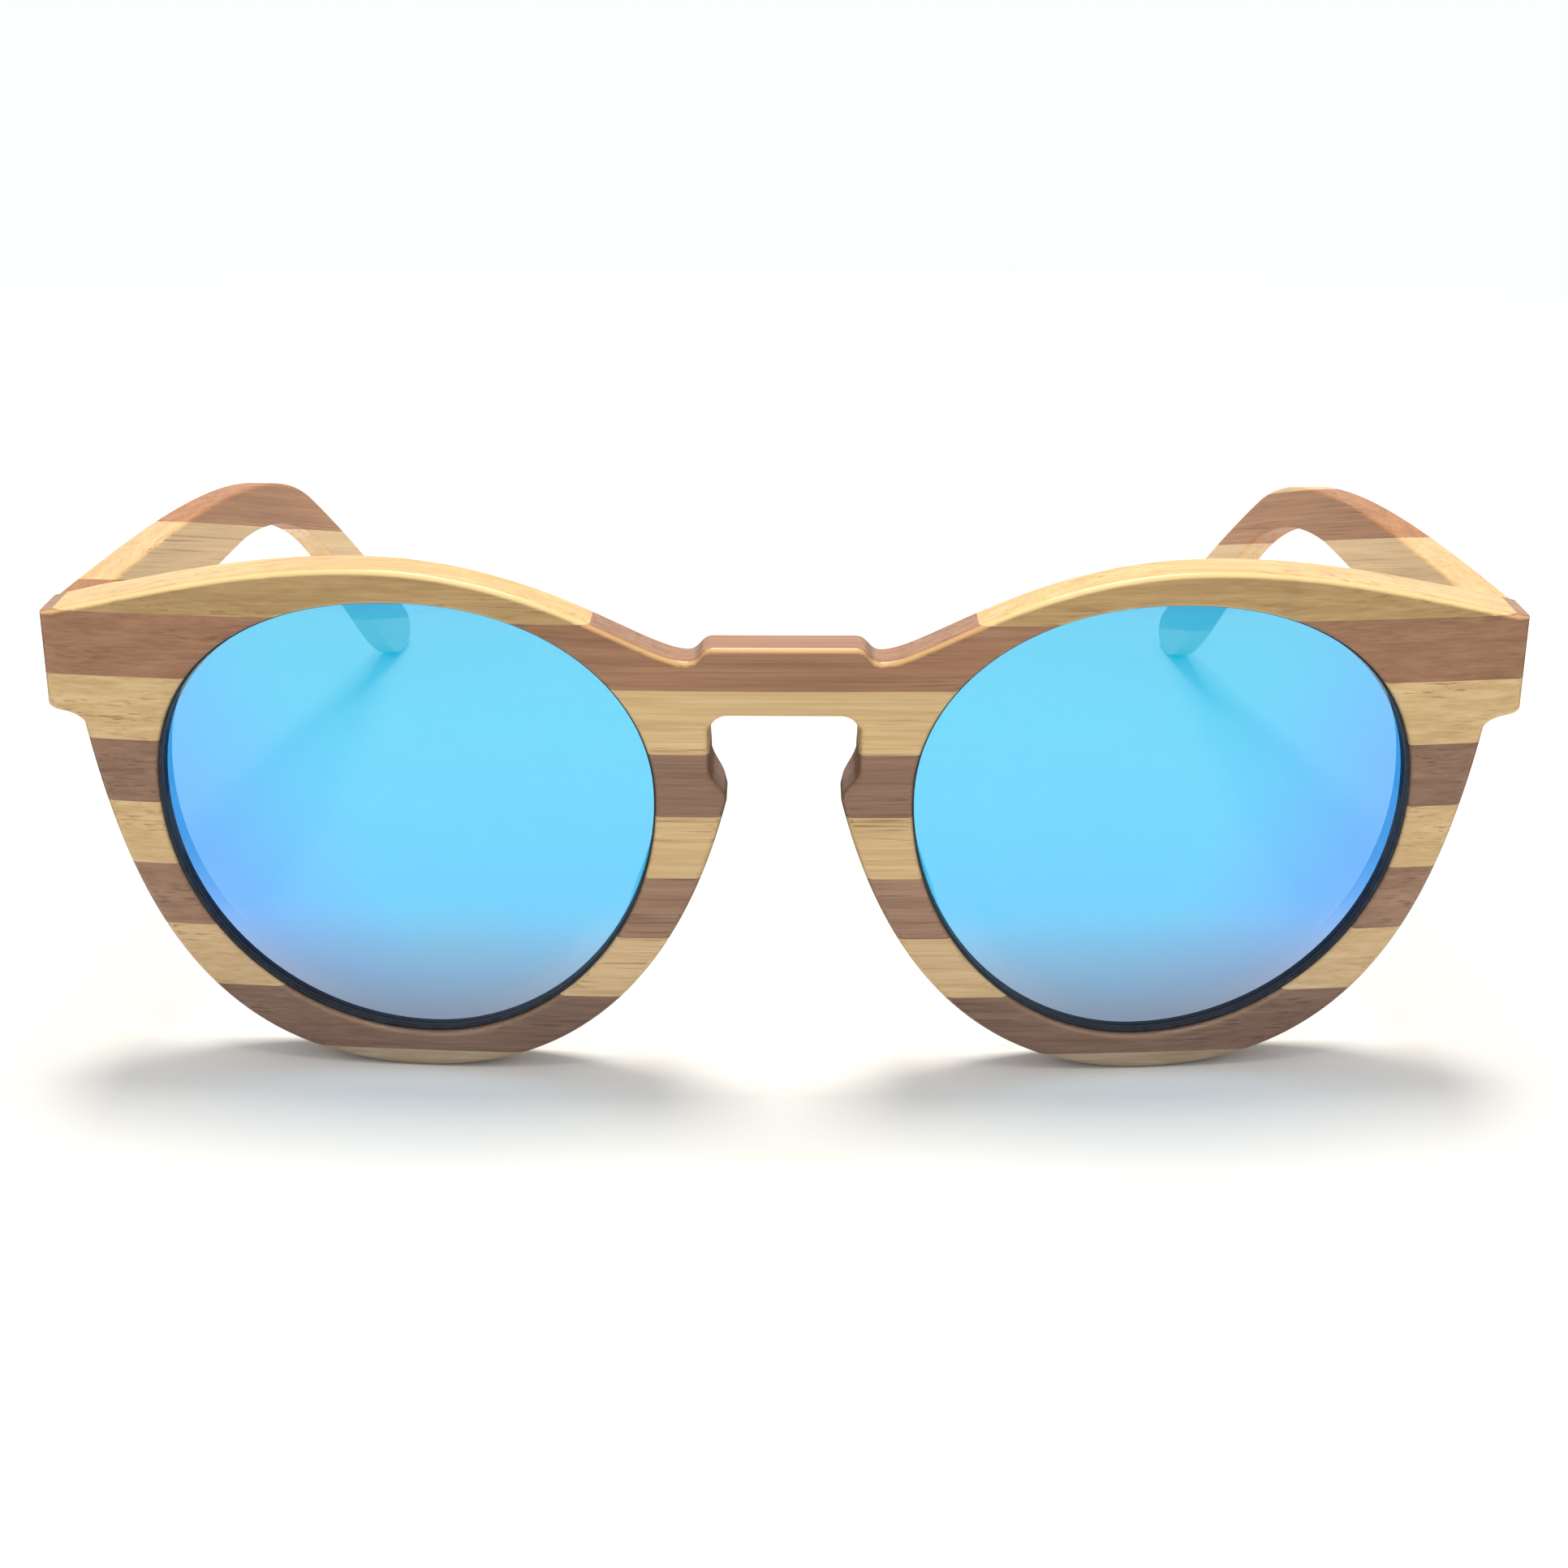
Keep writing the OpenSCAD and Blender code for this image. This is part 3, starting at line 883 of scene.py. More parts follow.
@dataclass
class LensShape:
    """The outline of the lens openings and the sphere that the lenses follow."""

    width: float = 49.3
    top: float = 19.6
    drop: float = 25.7
    gap: float = 25.2
    lean: float = 1.5
    rim_bottom: float = 3.8
    radius: float = 260.0
    thickness: float = 1.8
    recess: float = 0.6
    groove: float = 0.9
    bead: float = 0.8
    steps: int = 30
    outer_power: float = 2.27
    nose_power: float = 2.08
    low_power: float = 2.0

    @property
    def x(self) -> float:
        """Distance of the lens centre from the middle."""
        return self.gap / 2 + self.width / 2

    @property
    def z(self) -> float:
        """Height of the opening's widest line."""
        return self.rim_bottom + self.drop

    @property
    def middle_z(self) -> float:
        """Height of the middle of the opening."""
        return self.z + (self.top - self.drop) / 2

    def outline(self, side: Side, grow: float) -> list[Point]:
        """Draw the opening.

        Args:
            side: The side that it lies on.
            grow: How much larger it is all round.

        Returns:
            Points round the opening, always in the same order.
        """
        a = self.width / 2 + grow
        middle, low = (self.x, self.z), (self.x - self.lean, self.z)
        up, down = self.top + grow, self.drop + grow
        points = quarter(middle, a, up, self.outer_power, 0, self.steps)
        points += quarter(middle, a, up, self.nose_power, 90, self.steps)
        points += quarter(low, a - self.lean, down, self.low_power, 180, self.steps)
        points += quarter(low, a + self.lean, down, self.low_power, 270, self.steps)
        return [(side.value * x, z) for x, z in points]

    def face_y(self, x: float, z: float, bow: float, above: float) -> float:
        """Find the lens surface.

        Args:
            x: Distance from the middle, on either side.
            z: Height.
            bow: Radius of the front's outer face.
            above: Height above the lens face, towards the front.

        Returns:
            How far the surface lies behind the front's foremost point.
        """
        turn = math.asin(self.x / bow)
        reach = self.recess + self.radius
        cx = self.x - math.sin(turn) * reach
        cy = bow - math.sqrt(bow * bow - self.x * self.x) + math.cos(turn) * reach
        flat = (self.radius + above) ** 2 - (abs(x) - cx) ** 2 - (z - self.middle_z) ** 2
        return cy - math.sqrt(flat)


@dataclass
class Front(Laminate):
    """The front: one bowed board with a keyhole bridge, sawn into nine strips."""

    lens: LensShape = field(default_factory=LensShape)
    body: str = "front"
    width: float = 145.0
    thickness: float = 4.8
    bow: float = 526.0
    inner: float = 360.0
    seat: float = 67.8
    brow: float = 3.3
    crest_shift: float = 3.0
    end_drop: float = 5.3
    end_height: float = 9.8
    end_round: float = 0.5
    notch_step: Point = (3.5, 1.4)
    rim_side: float = 5.9
    rim_nose: float = 7.0
    bridge_drop: float = 7.2
    bridge: float = 7.0
    bridge_flat: float = 13.8
    dip: float = 1.4
    dip_width: float = 2.5
    keyhole: float = 14.6
    keyhole_height: float = 5.0
    keyhole_radius: float = 1.8
    pad_radius: float = 3.9
    pad_length: float = 13.5
    pad_spread: float = 3.9
    pad_top: Point = (-0.5, 3.5)
    pad_lift: Point = (0.2, 0.3)
    pad_fall: float = 2.5
    pad_blend: float = 0.9
    # Handles of the outline's curves: _in where one reaches a point, _out where it leaves it.
    dip_out: float = 0.14
    crest_in: float = 0.54
    crest_out: float = 0.37
    corner_in: Point = (-11.5, 2.6)
    end_out: Point = (-0.2, -1.3)
    notch_in: Point = (1.3, 1.5)
    rim_in: float = 1.8
    rim_share: float = 0.59
    low_in: Point = (22.9, 0.0)
    low_out: Point = (-19.4, 0.0)
    nose_in: Point = (3.4, -13.7)
    nose_out: Point = (-0.3, 1.2)
    shoulder_in: Point = (0.0, -1.9)
    strips: int = 9
    brow_strip: float = 5.0
    foot_strip: float = 1.9
    # Each strip's own tone; the two lowest are about a third darker, partly their own tone and
    # partly painted shade, as less light reaches the bottom of the rim.
    tints: tuple[Colour, ...] = (
        (1.0, 0.94, 0.86),
        (0.96, 0.97, 0.97),
        (0.98, 0.98, 1.02),
        (0.75, 0.85, 1.02),
        (0.93, 0.93, 0.98),
        (0.95, 1.11, 1.32),
        (0.94, 0.94, 1.06),
        (0.64, 0.76, 1.0),
        (0.62, 0.68, 0.94),
    )
    # Painted shade: the brow's faces across Y are drawn darker than its top.
    brow_shade: float = 0.68
    # Painted highlight on the upper edges of the first strips, and how many strips get it.
    brow_sanding: float = 0.75
    gleam_strips: int = 2
    ring_x: float = 48.6
    edge: float = 0.8
    back_edge: float = 0.4
    lip: float = 0.55
    back_lip: float = 0.5
    facets: int = 5
    score_step: float = 1.25
    score_reach: int = 57
    score_fine: int = 15
    score_miss: float = 0.01
    seat_blend: float = 2.0
    seat_edge: float = 0.25

    @property
    def crest(self) -> Point:
        """The highest point of the brow."""
        return (self.lens.x + self.crest_shift, self.lens.z + self.lens.top + self.brow)

    @property
    def end_top(self) -> float:
        """Height of the end piece's upper corner."""
        return self.crest[1] - self.end_drop

    @property
    def end_bottom(self) -> float:
        """Height of the end piece's lower corner."""
        return self.end_top - self.end_height

    @property
    def nose(self) -> Point:
        """The narrowest place of the nose."""
        return (self.lens.gap / 2 - self.rim_nose, self.lens.z)

    @property
    def strip_height(self) -> float:
        """Height of a whole strip."""
        return (self.crest[1] - self.brow_strip - self.foot_strip) / (self.strips - 2)

    def glue_line(self, k: int) -> float:
        """Height of the glue line under strip k, counted from the brow."""
        return self.crest[1] - self.brow_strip - (k - 1) * self.strip_height

    def half_outline(self) -> list[Point]:
        """Draw the left half of the front.

        Returns:
            Points from the top of the bridge round to the keyhole.
        """
        lens, half, crest, nose = self.lens, self.width / 2, self.crest, self.nose
        bridge_z = crest[1] - self.bridge_drop
        key_z = bridge_z - self.bridge
        flat = (self.bridge_flat / 2, bridge_z)
        dip = (flat[0] + self.dip_width, bridge_z - self.dip)
        ease = self.dip_width / 2
        reach_in, reach_out = crest[0] - dip[0], half - crest[0]
        corner = (half, self.end_top)
        end_low = (half, self.end_bottom + self.end_round)
        notch = (half - self.notch_step[0], self.end_bottom - self.notch_step[1])
        rim_x = lens.x + lens.width / 2 + self.rim_side
        notch_out = (rim_x - self.rim_in - notch[0], self.rim_share * lens.z - notch[1])
        low = (lens.x - lens.lean / 2, 0.0)
        shoulder = (self.keyhole / 2, key_z - self.keyhole_height)
        r = self.keyhole_radius
        key = (self.keyhole / 2 - r, key_z - r)
        points = [(0.0, bridge_z)]
        points += bezier(flat, (ease, 0.0), (-ease, 0.0), dip, 10)
        leave, reach = self.dip_out * reach_in, -self.crest_in * reach_in
        points += bezier(dip, (leave, 0.0), (reach, 0.0), crest, 26)
        points += bezier(crest, (self.crest_out * reach_out, 0.0), self.corner_in, corner, 24)
        points += [corner]
        points += bezier(end_low, self.end_out, self.notch_in, notch, 12)
        points += bezier(notch, notch_out, self.low_in, low, 44)
        points += bezier(low, self.low_out, self.nose_in, nose, 44)
        points += bezier(nose, self.nose_out, self.shoulder_in, shoulder, 8)
        points += quarter(key, r, r, 2.0, 0, 8)
        return points + [(key[0], key_z)]

    def outline(self) -> list[Point]:
        """Draw the whole front, both halves."""
        half = self.half_outline()
        return half + [(0.0, half[-1][1])] + [(-x, z) for x, z in reversed(half[1:])]

    def bow_y(self, x: float) -> float:
        """How far the outer face lies back at a distance x from the middle."""
        return self.bow - math.sqrt(self.bow * self.bow - x * x)

    def inner_y(self, x: float) -> float:
        """How far the inner face lies back, with the flat seats for the temples at its ends."""
        x = min(abs(x), self.seat)
        return self.thickness + self.inner - math.sqrt(self.inner * self.inner - x * x)

    def back_y(self, x: float, z: float) -> float:
        """Find the inner face with its carved nose pads.

        Args:
            x: Distance from the middle, on either side.
            z: Height.

        Returns:
            How far the inner face lies behind the front's foremost point.
        """
        face = self.inner_y(x)
        nose, r = self.nose, self.pad_radius
        top = Vector((nose[0] + r + self.pad_top[0], nose[1] + self.pad_top[1]))
        run = Vector((self.pad_spread, -self.pad_length))
        here = Vector((abs(x), z)) - top
        share = clamped(here.dot(run) / run.length_squared)
        off = (here - share * run).length
        pad = self.thickness + self.pad_lift[0] + self.pad_lift[1] * share
        pad += math.sqrt(r * r - off * off) if off < r else -self.pad_fall * (off - r)
        blend = max(0.0, 1.0 - abs(face - pad) / self.pad_blend)
        return max(face, pad) + self.pad_blend * blend * blend / 4

    def board(self) -> Piece:
        """Shape the whole front: edges rounded, lens openings through it, then bowed.

        Returns:
            The board.
        """
        section = round_section(self.edge, self.back_edge, self.thickness, self.facets)
        lips = round_section(self.lip, self.back_lip, self.thickness, self.facets)
        outline = self.outline()
        walls = [Bench.wall("board", [self.ring(inset(outline, off), d) for off, d in section])]
        for side in Side:
            rings = [self.ring(self.lens.outline(side, off), d) for off, d in lips]
            walls.append(Bench.wall("opening", rings))
        board = Bench.join(walls)
        Bench.fill(board, lambda place: place.y < ON_FACE)
        Bench.fill(board, lambda place: place.y > self.thickness * MM - ON_FACE)
        Bench.outward(board)
        Bench.score(board, self.score_planes())
        for vertex in board.data.vertices:
            x, depth, z = (c / MM for c in vertex.co)
            if depth < self.thickness / 2:
                y = self.bow_y(x) + depth
            else:
                soft = self.seat_edge if abs(x) > self.seat - self.seat_blend else 1.0
                y = self.back_y(x, z) - soft * (self.thickness - depth)
            vertex.co.y = foremost + y * MM
        return board

    def score_planes(self) -> list[Plane]:
        """Choose where the board is scored before it is bowed, finer near the nose.

        Returns:
            A point and a normal for each cut, upright ones first.
        """
        reach, fine = self.score_reach, self.score_fine
        steps = [i for i in range(-reach, reach + 1) if abs(i) < fine or i % 2]
        xs = [i * self.score_step for i in steps] + [-self.seat, self.seat]
        shares = (0.2, 0.4, 0.6, 0.8)
        strips = range(1, self.strips)
        zs = [self.glue_line(k) + share * self.strip_height for k in strips for share in shares]
        miss = self.score_miss * MM
        planes = [(Vector((x * MM + miss, 0, 0)), Vector((1, 0, 0))) for x in xs]
        return planes + [(Vector((0, 0, z * MM)), Vector((0, 0, 1))) for z in zs]

    @staticmethod
    def ring(points: Sequence[Point], depth: float) -> list[Vector]:
        """Lay an outline upright at a depth in the board."""
        return [Vector((x, depth, z)) * MM for x, z in points]

    def cuts(self, k: int) -> list[Plane]:
        """Find the sawn faces of a strip.

        Args:
            k: Number of the strip, counted from the brow.

        Returns:
            A point and an outward normal for each.
        """
        faces = []
        if k > 1:
            faces.append((Vector((0, 0, self.glue_line(k - 1) * MM)), Vector((0, 0, 1))))
        if k < self.strips:
            faces.append((Vector((0, 0, self.glue_line(k) * MM)), Vector((0, 0, -1))))
        return faces

    def finish(self, k: int, tone: Tone, name: str) -> Material:
        """Make the material of a strip.

        Args:
            k: Number of the strip, counted from the brow.
            tone: Its wood.
            name: Name of the material.

        Returns:
            The material.
        """
        # The brow gets painted shade on its faces, and the first strips a painted highlight on
        # their upper edges.
        extras = {"tint": self.tints[k - 1]}
        if k == 1:
            extras.update(face=self.brow_shade, ring_x=self.ring_x)
        if k <= self.gleam_strips:
            extras.update(sanding=self.brow_sanding)
        return WOODS[tone].material(name, k, (0, 0, 0), **extras)


@dataclass
class Temple(Laminate):
    """One temple: a flat board with an ear bend, sawn into slanting strips."""

    side: Side
    front: Front
    strips: int
    shift: float
    thickness: float = 4.0
    tip: float = 3.2
    bend: Point = (84.0, 35.8)
    length: float = 131.5
    splay: float = 4.0
    end_step: float = 0.1
    gap: float = 0.2
    # Places on the side view, from the toe or the bend.
    back_step: Point = (2.0, 6.2)
    hook_step: Point = (-23.5, 13.6)
    neck_step: Point = (-32.0, 3.1)
    # Handles of its curves: _in where one reaches a point, _out where it leaves it.
    butt_out: Point = (26.0, 0.1)
    bend_in: Point = (-20.0, 11.4)
    bend_out: Point = (8.0, -4.2)
    back_in: Point = (-15.5, 10.8)
    back_out: Point = (4.0, -2.4)
    toe_in: Point = (6.0, 0.0)
    toe_out: Point = (-5.5, 0.0)
    hook_in: Point = (10.0, -7.6)
    hook_out: Point = (-9.0, 5.9)
    neck_in: Point = (32.0, -1.4)
    neck_out: Point = (-17.0, 0.0)
    butt_in: Point = (15.0, 0.0)
    strip_height: float = 6.3
    slope: float = 15.6
    crown_strip: float = 0.7
    crown_line: int = 4
    light_tint: Colour = (0.97, 0.89, 0.81)
    dark_tint: Colour = (1.09, 0.99, 0.78)
    dark_coat: float = 0.31
    edge: float = 0.45
    facets: int = 4
    score_step: int = 4
    butt_edge: float = 0.4
    butt_close: float = 0.75

    @property
    def body(self) -> str:
        """The body that the strips ride on."""
        return f"{self.side.word}_temple"

    @property
    def butt(self) -> Point:
        """X and Y of the inner corner of the butt end, behind the front's foremost point."""
        x = self.front.width / 2 - self.end_step - self.thickness
        return (x, self.front.inner_y(x) + self.gap)

    def arm_top(self) -> list[Point]:
        """Draw the upper edge from the butt to the bend."""
        return bezier((0.0, self.front.end_top), self.butt_out, self.bend_in, self.bend, 40)

    def profile(self) -> list[Point]:
        """Draw the temple from the side.

        Returns:
            Points round it, as distances along it and heights.
        """
        bend, toe = self.bend, (self.length, 0.0)
        back = (self.length + self.back_step[0], self.back_step[1])
        hook = (self.length + self.hook_step[0], self.hook_step[1])
        neck = (bend[0] + self.neck_step[0], bend[1] + self.neck_step[1])
        low = (0.0, self.front.end_bottom)
        points = self.arm_top()
        points += bezier(bend, self.bend_out, self.back_in, back, 24)
        points += bezier(back, self.back_out, self.toe_in, toe, 16)
        points += bezier(toe, self.toe_out, self.hook_in, hook, 20)
        points += bezier(hook, self.hook_out, self.neck_in, neck, 32)
        points += bezier(neck, self.neck_out, self.butt_in, low, 20)
        return points + [low]

    def glue_line(self, k: int) -> float:
        """Find a glue line.

        Args:
            k: Number of the strip below it, counted from the bottom.

        Returns:
            Its height at the butt.
        """
        rise = math.tan(math.radians(self.slope))
        crown = max(z + rise * y for y, z in self.arm_top())
        pitch = self.strip_height / math.cos(math.radians(self.slope))
        return crown - self.crown_strip + self.shift - (self.crown_line - k) * pitch

    def placed(self, x: float, y: float, z: float) -> Vector:
        """Turn a place on the temple into one in the frame.

        Args:
            x: Distance outward from the inner face.
            y: Distance along the temple from its butt.
            z: Height.

        Returns:
            The place in metres.
        """
        turn = math.radians(self.splay)
        butt = self.butt
        gx = butt[0] + x * math.cos(turn) - y * math.sin(turn)
        gy = butt[1] + x * math.sin(turn) + y * math.cos(turn)
        return Vector((self.side.value * gx * MM, foremost + gy * MM, z * MM))

    def board(self) -> Piece:
        """Shape the whole temple with its edges rounded, thinner towards the tip.

        Returns:
            The board.
        """
        profile = self.profile()
        section = round_section(self.edge, self.edge, self.thickness, self.facets)
        rings = [[Vector((d, y, z)) * MM for y, z in inset(profile, off)] for off, d in section]
        board = Bench.wall("board", rings)
        Bench.fill(board, lambda place: place.x < ON_FACE)
        Bench.fill(board, lambda place: place.x > self.thickness * MM - ON_FACE)
        ys = range(self.score_step, int(self.length) + 5, self.score_step)
        Bench.score(board, [(Vector((0, y * MM, 0)), Vector((0, 1, 0))) for y in ys])
        lean = math.tan(math.radians(self.splay))
        for vertex in board.data.vertices:
            x, y, z = (c / MM for c in vertex.co)
            if x > self.thickness / 2:
                x -= (self.thickness - self.tip) * min(1.0, y / self.length)
            if y < 1.0:
                y = self.butt_edge * y - (self.butt_close * self.gap + x * lean) * (1.0 - y)
            vertex.co = self.placed(x, y, z)
        Bench.outward(board)
        return board

    def cuts(self, k: int) -> list[Plane]:
        """Find the sawn faces of a strip.

        Args:
            k: Number of the strip, counted from the bottom.

        Returns:
            A point and an outward normal for each.
        """
        slope = math.radians(self.slope)
        along = self.placed(0, 1, 0) - self.placed(0, 0, 0)
        across = Vector((0, 0, 1)) * math.cos(slope) + along.normalized() * math.sin(slope)
        faces = []
        if k < self.strips:
            faces.append((self.placed(0, 0, self.glue_line(k)), across))
        if k > 1:
            faces.append((self.placed(0, 0, self.glue_line(k - 1)), -across))
        return faces

    def finish(self, k: int, tone: Tone, name: str) -> Material:
        """Make the material of a strip.

        Args:
            k: Number of the strip, counted from the bottom.
            tone: Its wood.
            name: Name of the material.

        Returns:
            The material.
        """
        slope, splay = math.radians(self.slope), math.radians(self.splay)
        lie = Matrix.Rotation(slope, 3, "X") @ Matrix.Rotation(-splay * self.side.value, 3, "Z")
        grain = (Matrix.Rotation(-math.pi / 2, 3, "Z") @ lie).to_euler()
        seed = (20 if self.side is Side.LEFT else 30) + k
        if tone is Tone.LIGHT:
            return WOODS[tone].material(name, seed, grain, self.light_tint)
        return WOODS[tone].material(name, seed, grain, self.dark_tint, coat=self.dark_coat)


@dataclass
class Lens:
    """A lens in its coat, and the black bead that holds it from both sides."""

    side: Side
    front: Front
    rings: int = 9
    play: float = 0.1
    band: float = 1.9
    fade: float = 2.4
    closing: Point = (2.4, 0.5)
    sharp: float = 40.0
    bead_in: float = 0.42
    bead_back: float = 1.3
    bead_rear: float = 0.1
    bead_proud: float = 0.05
    bead_play: float = 0.02
    bead_web: float = 0.06
    bead_film: float = 0.04
    bead_soft: float = 0.2
    bead_sharp: float = 50.0
    tucked: float = -0.12
    show: float = 0.5
    show_below: float = 0.72
    show_outward: float = 0.45
    coated: float = -0.5

    @property
    def centre(self) -> Point:
        """X and Z of the middle of the lens."""
        return (self.side.value * self.front.lens.x, self.front.lens.middle_z)

    def surface(self, point: Point, above: float) -> Vector:
        """A place on the lens sphere, or at a height above it, in metres."""
        y = self.front.lens.face_y(point[0], point[1], self.front.bow, above)
        return Vector((point[0] * MM, foremost + y * MM, point[1] * MM))

    def lens(self) -> Piece:
        """Shape the lens from rings on its sphere, closed in the middle and given its thickness.

        Returns:
            The lens.
        """
        shape, (cx, cz) = self.front.lens, self.centre
        grows = (shape.groove - self.play, -self.band, -self.fade * self.band)
        outlines = [shape.outline(self.side, grow) for grow in grows]
        for i in range(1, self.rings):
            share = 1 - i / self.rings
            smaller = [(cx + share * (x - cx), cz + share * (z - cz)) for x, z in outlines[2]]
            outlines.append(smaller)
        rings = [[self.surface(point, 0.0) for point in points] for points in outlines]
        lens = Bench.wall(f"{self.side.word}_lens_coated", rings)
        self.mark_edge(lens, rings[:2])
        middle = self.surface(self.centre, 0.0)
        reach = 1.05 * max((place - middle).length for place in rings[-1])
        Bench.fill(lens, lambda place: (place - middle).length < reach)
        Bench.outward(lens)
        if lens.data.polygons[0].normal.y > 0:
            with Bench.editing(lens):
                bpy.ops.mesh.flip_normals()
        wall = lens.modifiers.new("wall", "SOLIDIFY")
        wall.thickness = shape.thickness * MM
        wall.offset = -1.0
        bpy.ops.object.modifier_apply(modifier="wall")
        bpy.ops.object.shade_smooth_by_angle(angle=math.radians(self.sharp))
        return lens

    def mark_edge(self, lens: Piece, rings: Sequence[Sequence[Vector]]) -> None:
        """Note on a lens's points how far the coat closes near its lower edge.

        Args:
            lens: The lens.
            rings: The rings that bound the closed band.
        """
        shape, digits = self.front.lens, 6
        near = {spot(place, digits) for ring in rings for place in ring}
        edge = lens.data.attributes.new("edge", "FLOAT", "POINT")
        for vertex, mark in zip(lens.data.vertices, edge.data):
            below = (shape.z - vertex.co.z / MM) / shape.drop
            if spot(vertex.co, digits) in near:
                mark.value = clamped(self.closing[0] * below - self.closing[1])

    def bead_section(self) -> list[Point]:
        """Draw the bead's section: a lip in front of the lens, a web round its edge, a lip behind.

        Returns:
            Pairs of growth from the opening and height above the lens face, closed.
        """
        shape, soft, rear = self.front.lens, self.bead_soft, self.bead_rear
        inner, web = -self.bead_in, shape.groove - self.bead_play
        slot = web - self.bead_web
        top, face = shape.bead + self.bead_proud, self.bead_film
        back = -shape.thickness - self.bead_film
        low = back - self.bead_back
        lip = [(web, top), (inner + 1.6 * soft, top), (inner + 0.5 * soft, top - 0.4 * soft)]
        lip += [(inner, top - 1.6 * soft), (inner, face), (slot, face), (slot, back), (rear, back)]
        return lip + [(rear, low + soft), (rear + soft, low), (web, low), (web, top)]

    def bead(self) -> Piece:
        """Sweep the bead's section round the opening.

        Returns:
            The bead.
        """
        shape = self.front.lens
        rings = []
        for off, above in self.bead_section():
            under = shape.outline(self.side, max(off, self.tucked))
            pairs = zip(shape.outline(self.side, off), under)
            rings.append([self.surface(self.tuck(*pair), above) for pair in pairs])
        bead = Bench.wall(f"{self.side.word}_bead_ring", rings)
        Bench.outward(bead)
        Bench.smooth(bead, self.bead_sharp)
        return bead

    def tuck(self, full: Point, under: Point) -> Point:
        """Tuck the bead under the wood at the top and the nose, where less of it shows.

        Args:
            full: The bead's place where it stands out fully.
            under: Its place under the wood.

        Returns:
            The place between them.
        """
        shape = self.front.lens
        outward = (self.side.value * full[0] - shape.x) / (shape.width / 2)
        below = (shape.middle_z - full[1]) / ((shape.top + shape.drop) / 2)
        share = clamped(self.show + self.show_below * below + self.show_outward * outward)
        return tuple(share * a + (1 - share) * b for a, b in zip(full, under))

    def build(self) -> None:
        """Shape and dress the lens and its bead."""
        word, lens = self.side.word, self.lens()
        dress(lens, COAT.coat(f"{word}_coat", self.centre), "front", COAT.slot, f"{word}_lens")
        lens.data.materials.append(COAT.back(f"{word}_lens_back"))
        for face in lens.data.polygons:
            face.material_index = 0 if face.normal.y < self.coated else 1
        black = BLACK.material(f"{word}_bead_black")
        dress(self.bead(), black, "front", BLACK.slot, f"{word}_lens_bead")


@dataclass(frozen=True)
class Screw:
    """A slotted screw with a domed head, turned once and then copied into its holes."""

    head: float
    head_height: float
    shank: float
    length: float
    slot: float = 0.26
    slot_depth: float = 0.5
    dome: tuple[Point, ...] = ((1.0, 0.55), (0.9, 0.3), (0.72, 0.15))
    level: float = 0.9
    facets: int = 32

    def turned(self) -> Piece:
        """Turn the screw about Z, with the seat of its head at the origin and the shank below it.

        Returns:
            The screw.
        """
        bpy.ops.object.select_all(action="DESELECT")
        depth = self.length * MM
        sizes = {"vertices": self.facets, "radius": self.shank * MM, "depth": depth}
        bpy.ops.mesh.primitive_cylinder_add(location=(0, 0, -depth / 2), **sizes)
        screw = bpy.context.object
        bpy.ops.object.transform_apply(location=True)
        with Bench.editing(screw):
            self.choose(screw, lambda face: face.normal.z > self.level)
            for scale, rise in ((self.head / self.shank, 0.0), *self.dome):
                self.extrude(rise)
                bpy.ops.transform.resize(value=(scale, scale, 1), center_override=(0, 0, 0))
            for y in (-self.slot / 2, self.slot / 2):
                self.choose(screw, self.on_top)
                bpy.ops.mesh.bisect(plane_co=(0, y * MM, 0), plane_no=(0, 1, 0), threshold=SNAP)
            self.choose(screw, self.on_slot)
            self.extrude(-self.slot_depth)
            bpy.ops.mesh.select_mode(type="VERT")
            bpy.ops.mesh.select_all(action="SELECT")
            bpy.ops.mesh.normals_make_consistent(inside=False)
        return screw

    def extrude(self, rise: float) -> None:
        """Extrude the selected faces upwards by a share of the head's height."""
        step = (0, 0, rise * self.head_height * MM)
        bpy.ops.mesh.extrude_region_move(TRANSFORM_OT_translate={"value": step})

    def on_top(self, face: bmesh.types.BMFace) -> bool:
        """Say whether a face lies on top of the head."""
        high = face.calc_center_median().z > self.level * self.head_height * MM
        return face.normal.z > self.level and high

    def on_slot(self, face: bmesh.types.BMFace) -> bool:
        """Say whether a face is the one on top of the head that the slot is milled into."""
        return self.on_top(face) and abs(face.calc_center_median().y) < 0.4 * self.slot * MM

    @staticmethod
    def choose(screw: Piece, wanted: Callable[[bmesh.types.BMFace], bool]) -> None:
        """Select faces of the screw.

        Args:
            screw: The screw.
            wanted: Says for a face whether it is selected.
        """
        bpy.ops.mesh.select_mode(type="FACE")
        bpy.ops.mesh.select_all(action="DESELECT")
        mesh = bmesh.from_edit_mesh(screw.data)
        for face in mesh.faces:
            face.select_set(wanted(face))
        bmesh.update_edit_mesh(screw.data)

    @staticmethod
    def copy(screw: Piece, seat: Matrix, turn: float) -> Piece:
        """Set a copy of the screw into a hole.

        Args:
            screw: The turned screw.
            seat: Where the head's seat lies, with Z out of the hole.
            turn: How far the slot is turned, in degrees.

        Returns:
            The copy.
        """
        piece = Bench.copied("screw", screw)
        piece.data.transform(seat @ Matrix.Rotation(math.radians(turn), 4, "Z"))
        return piece


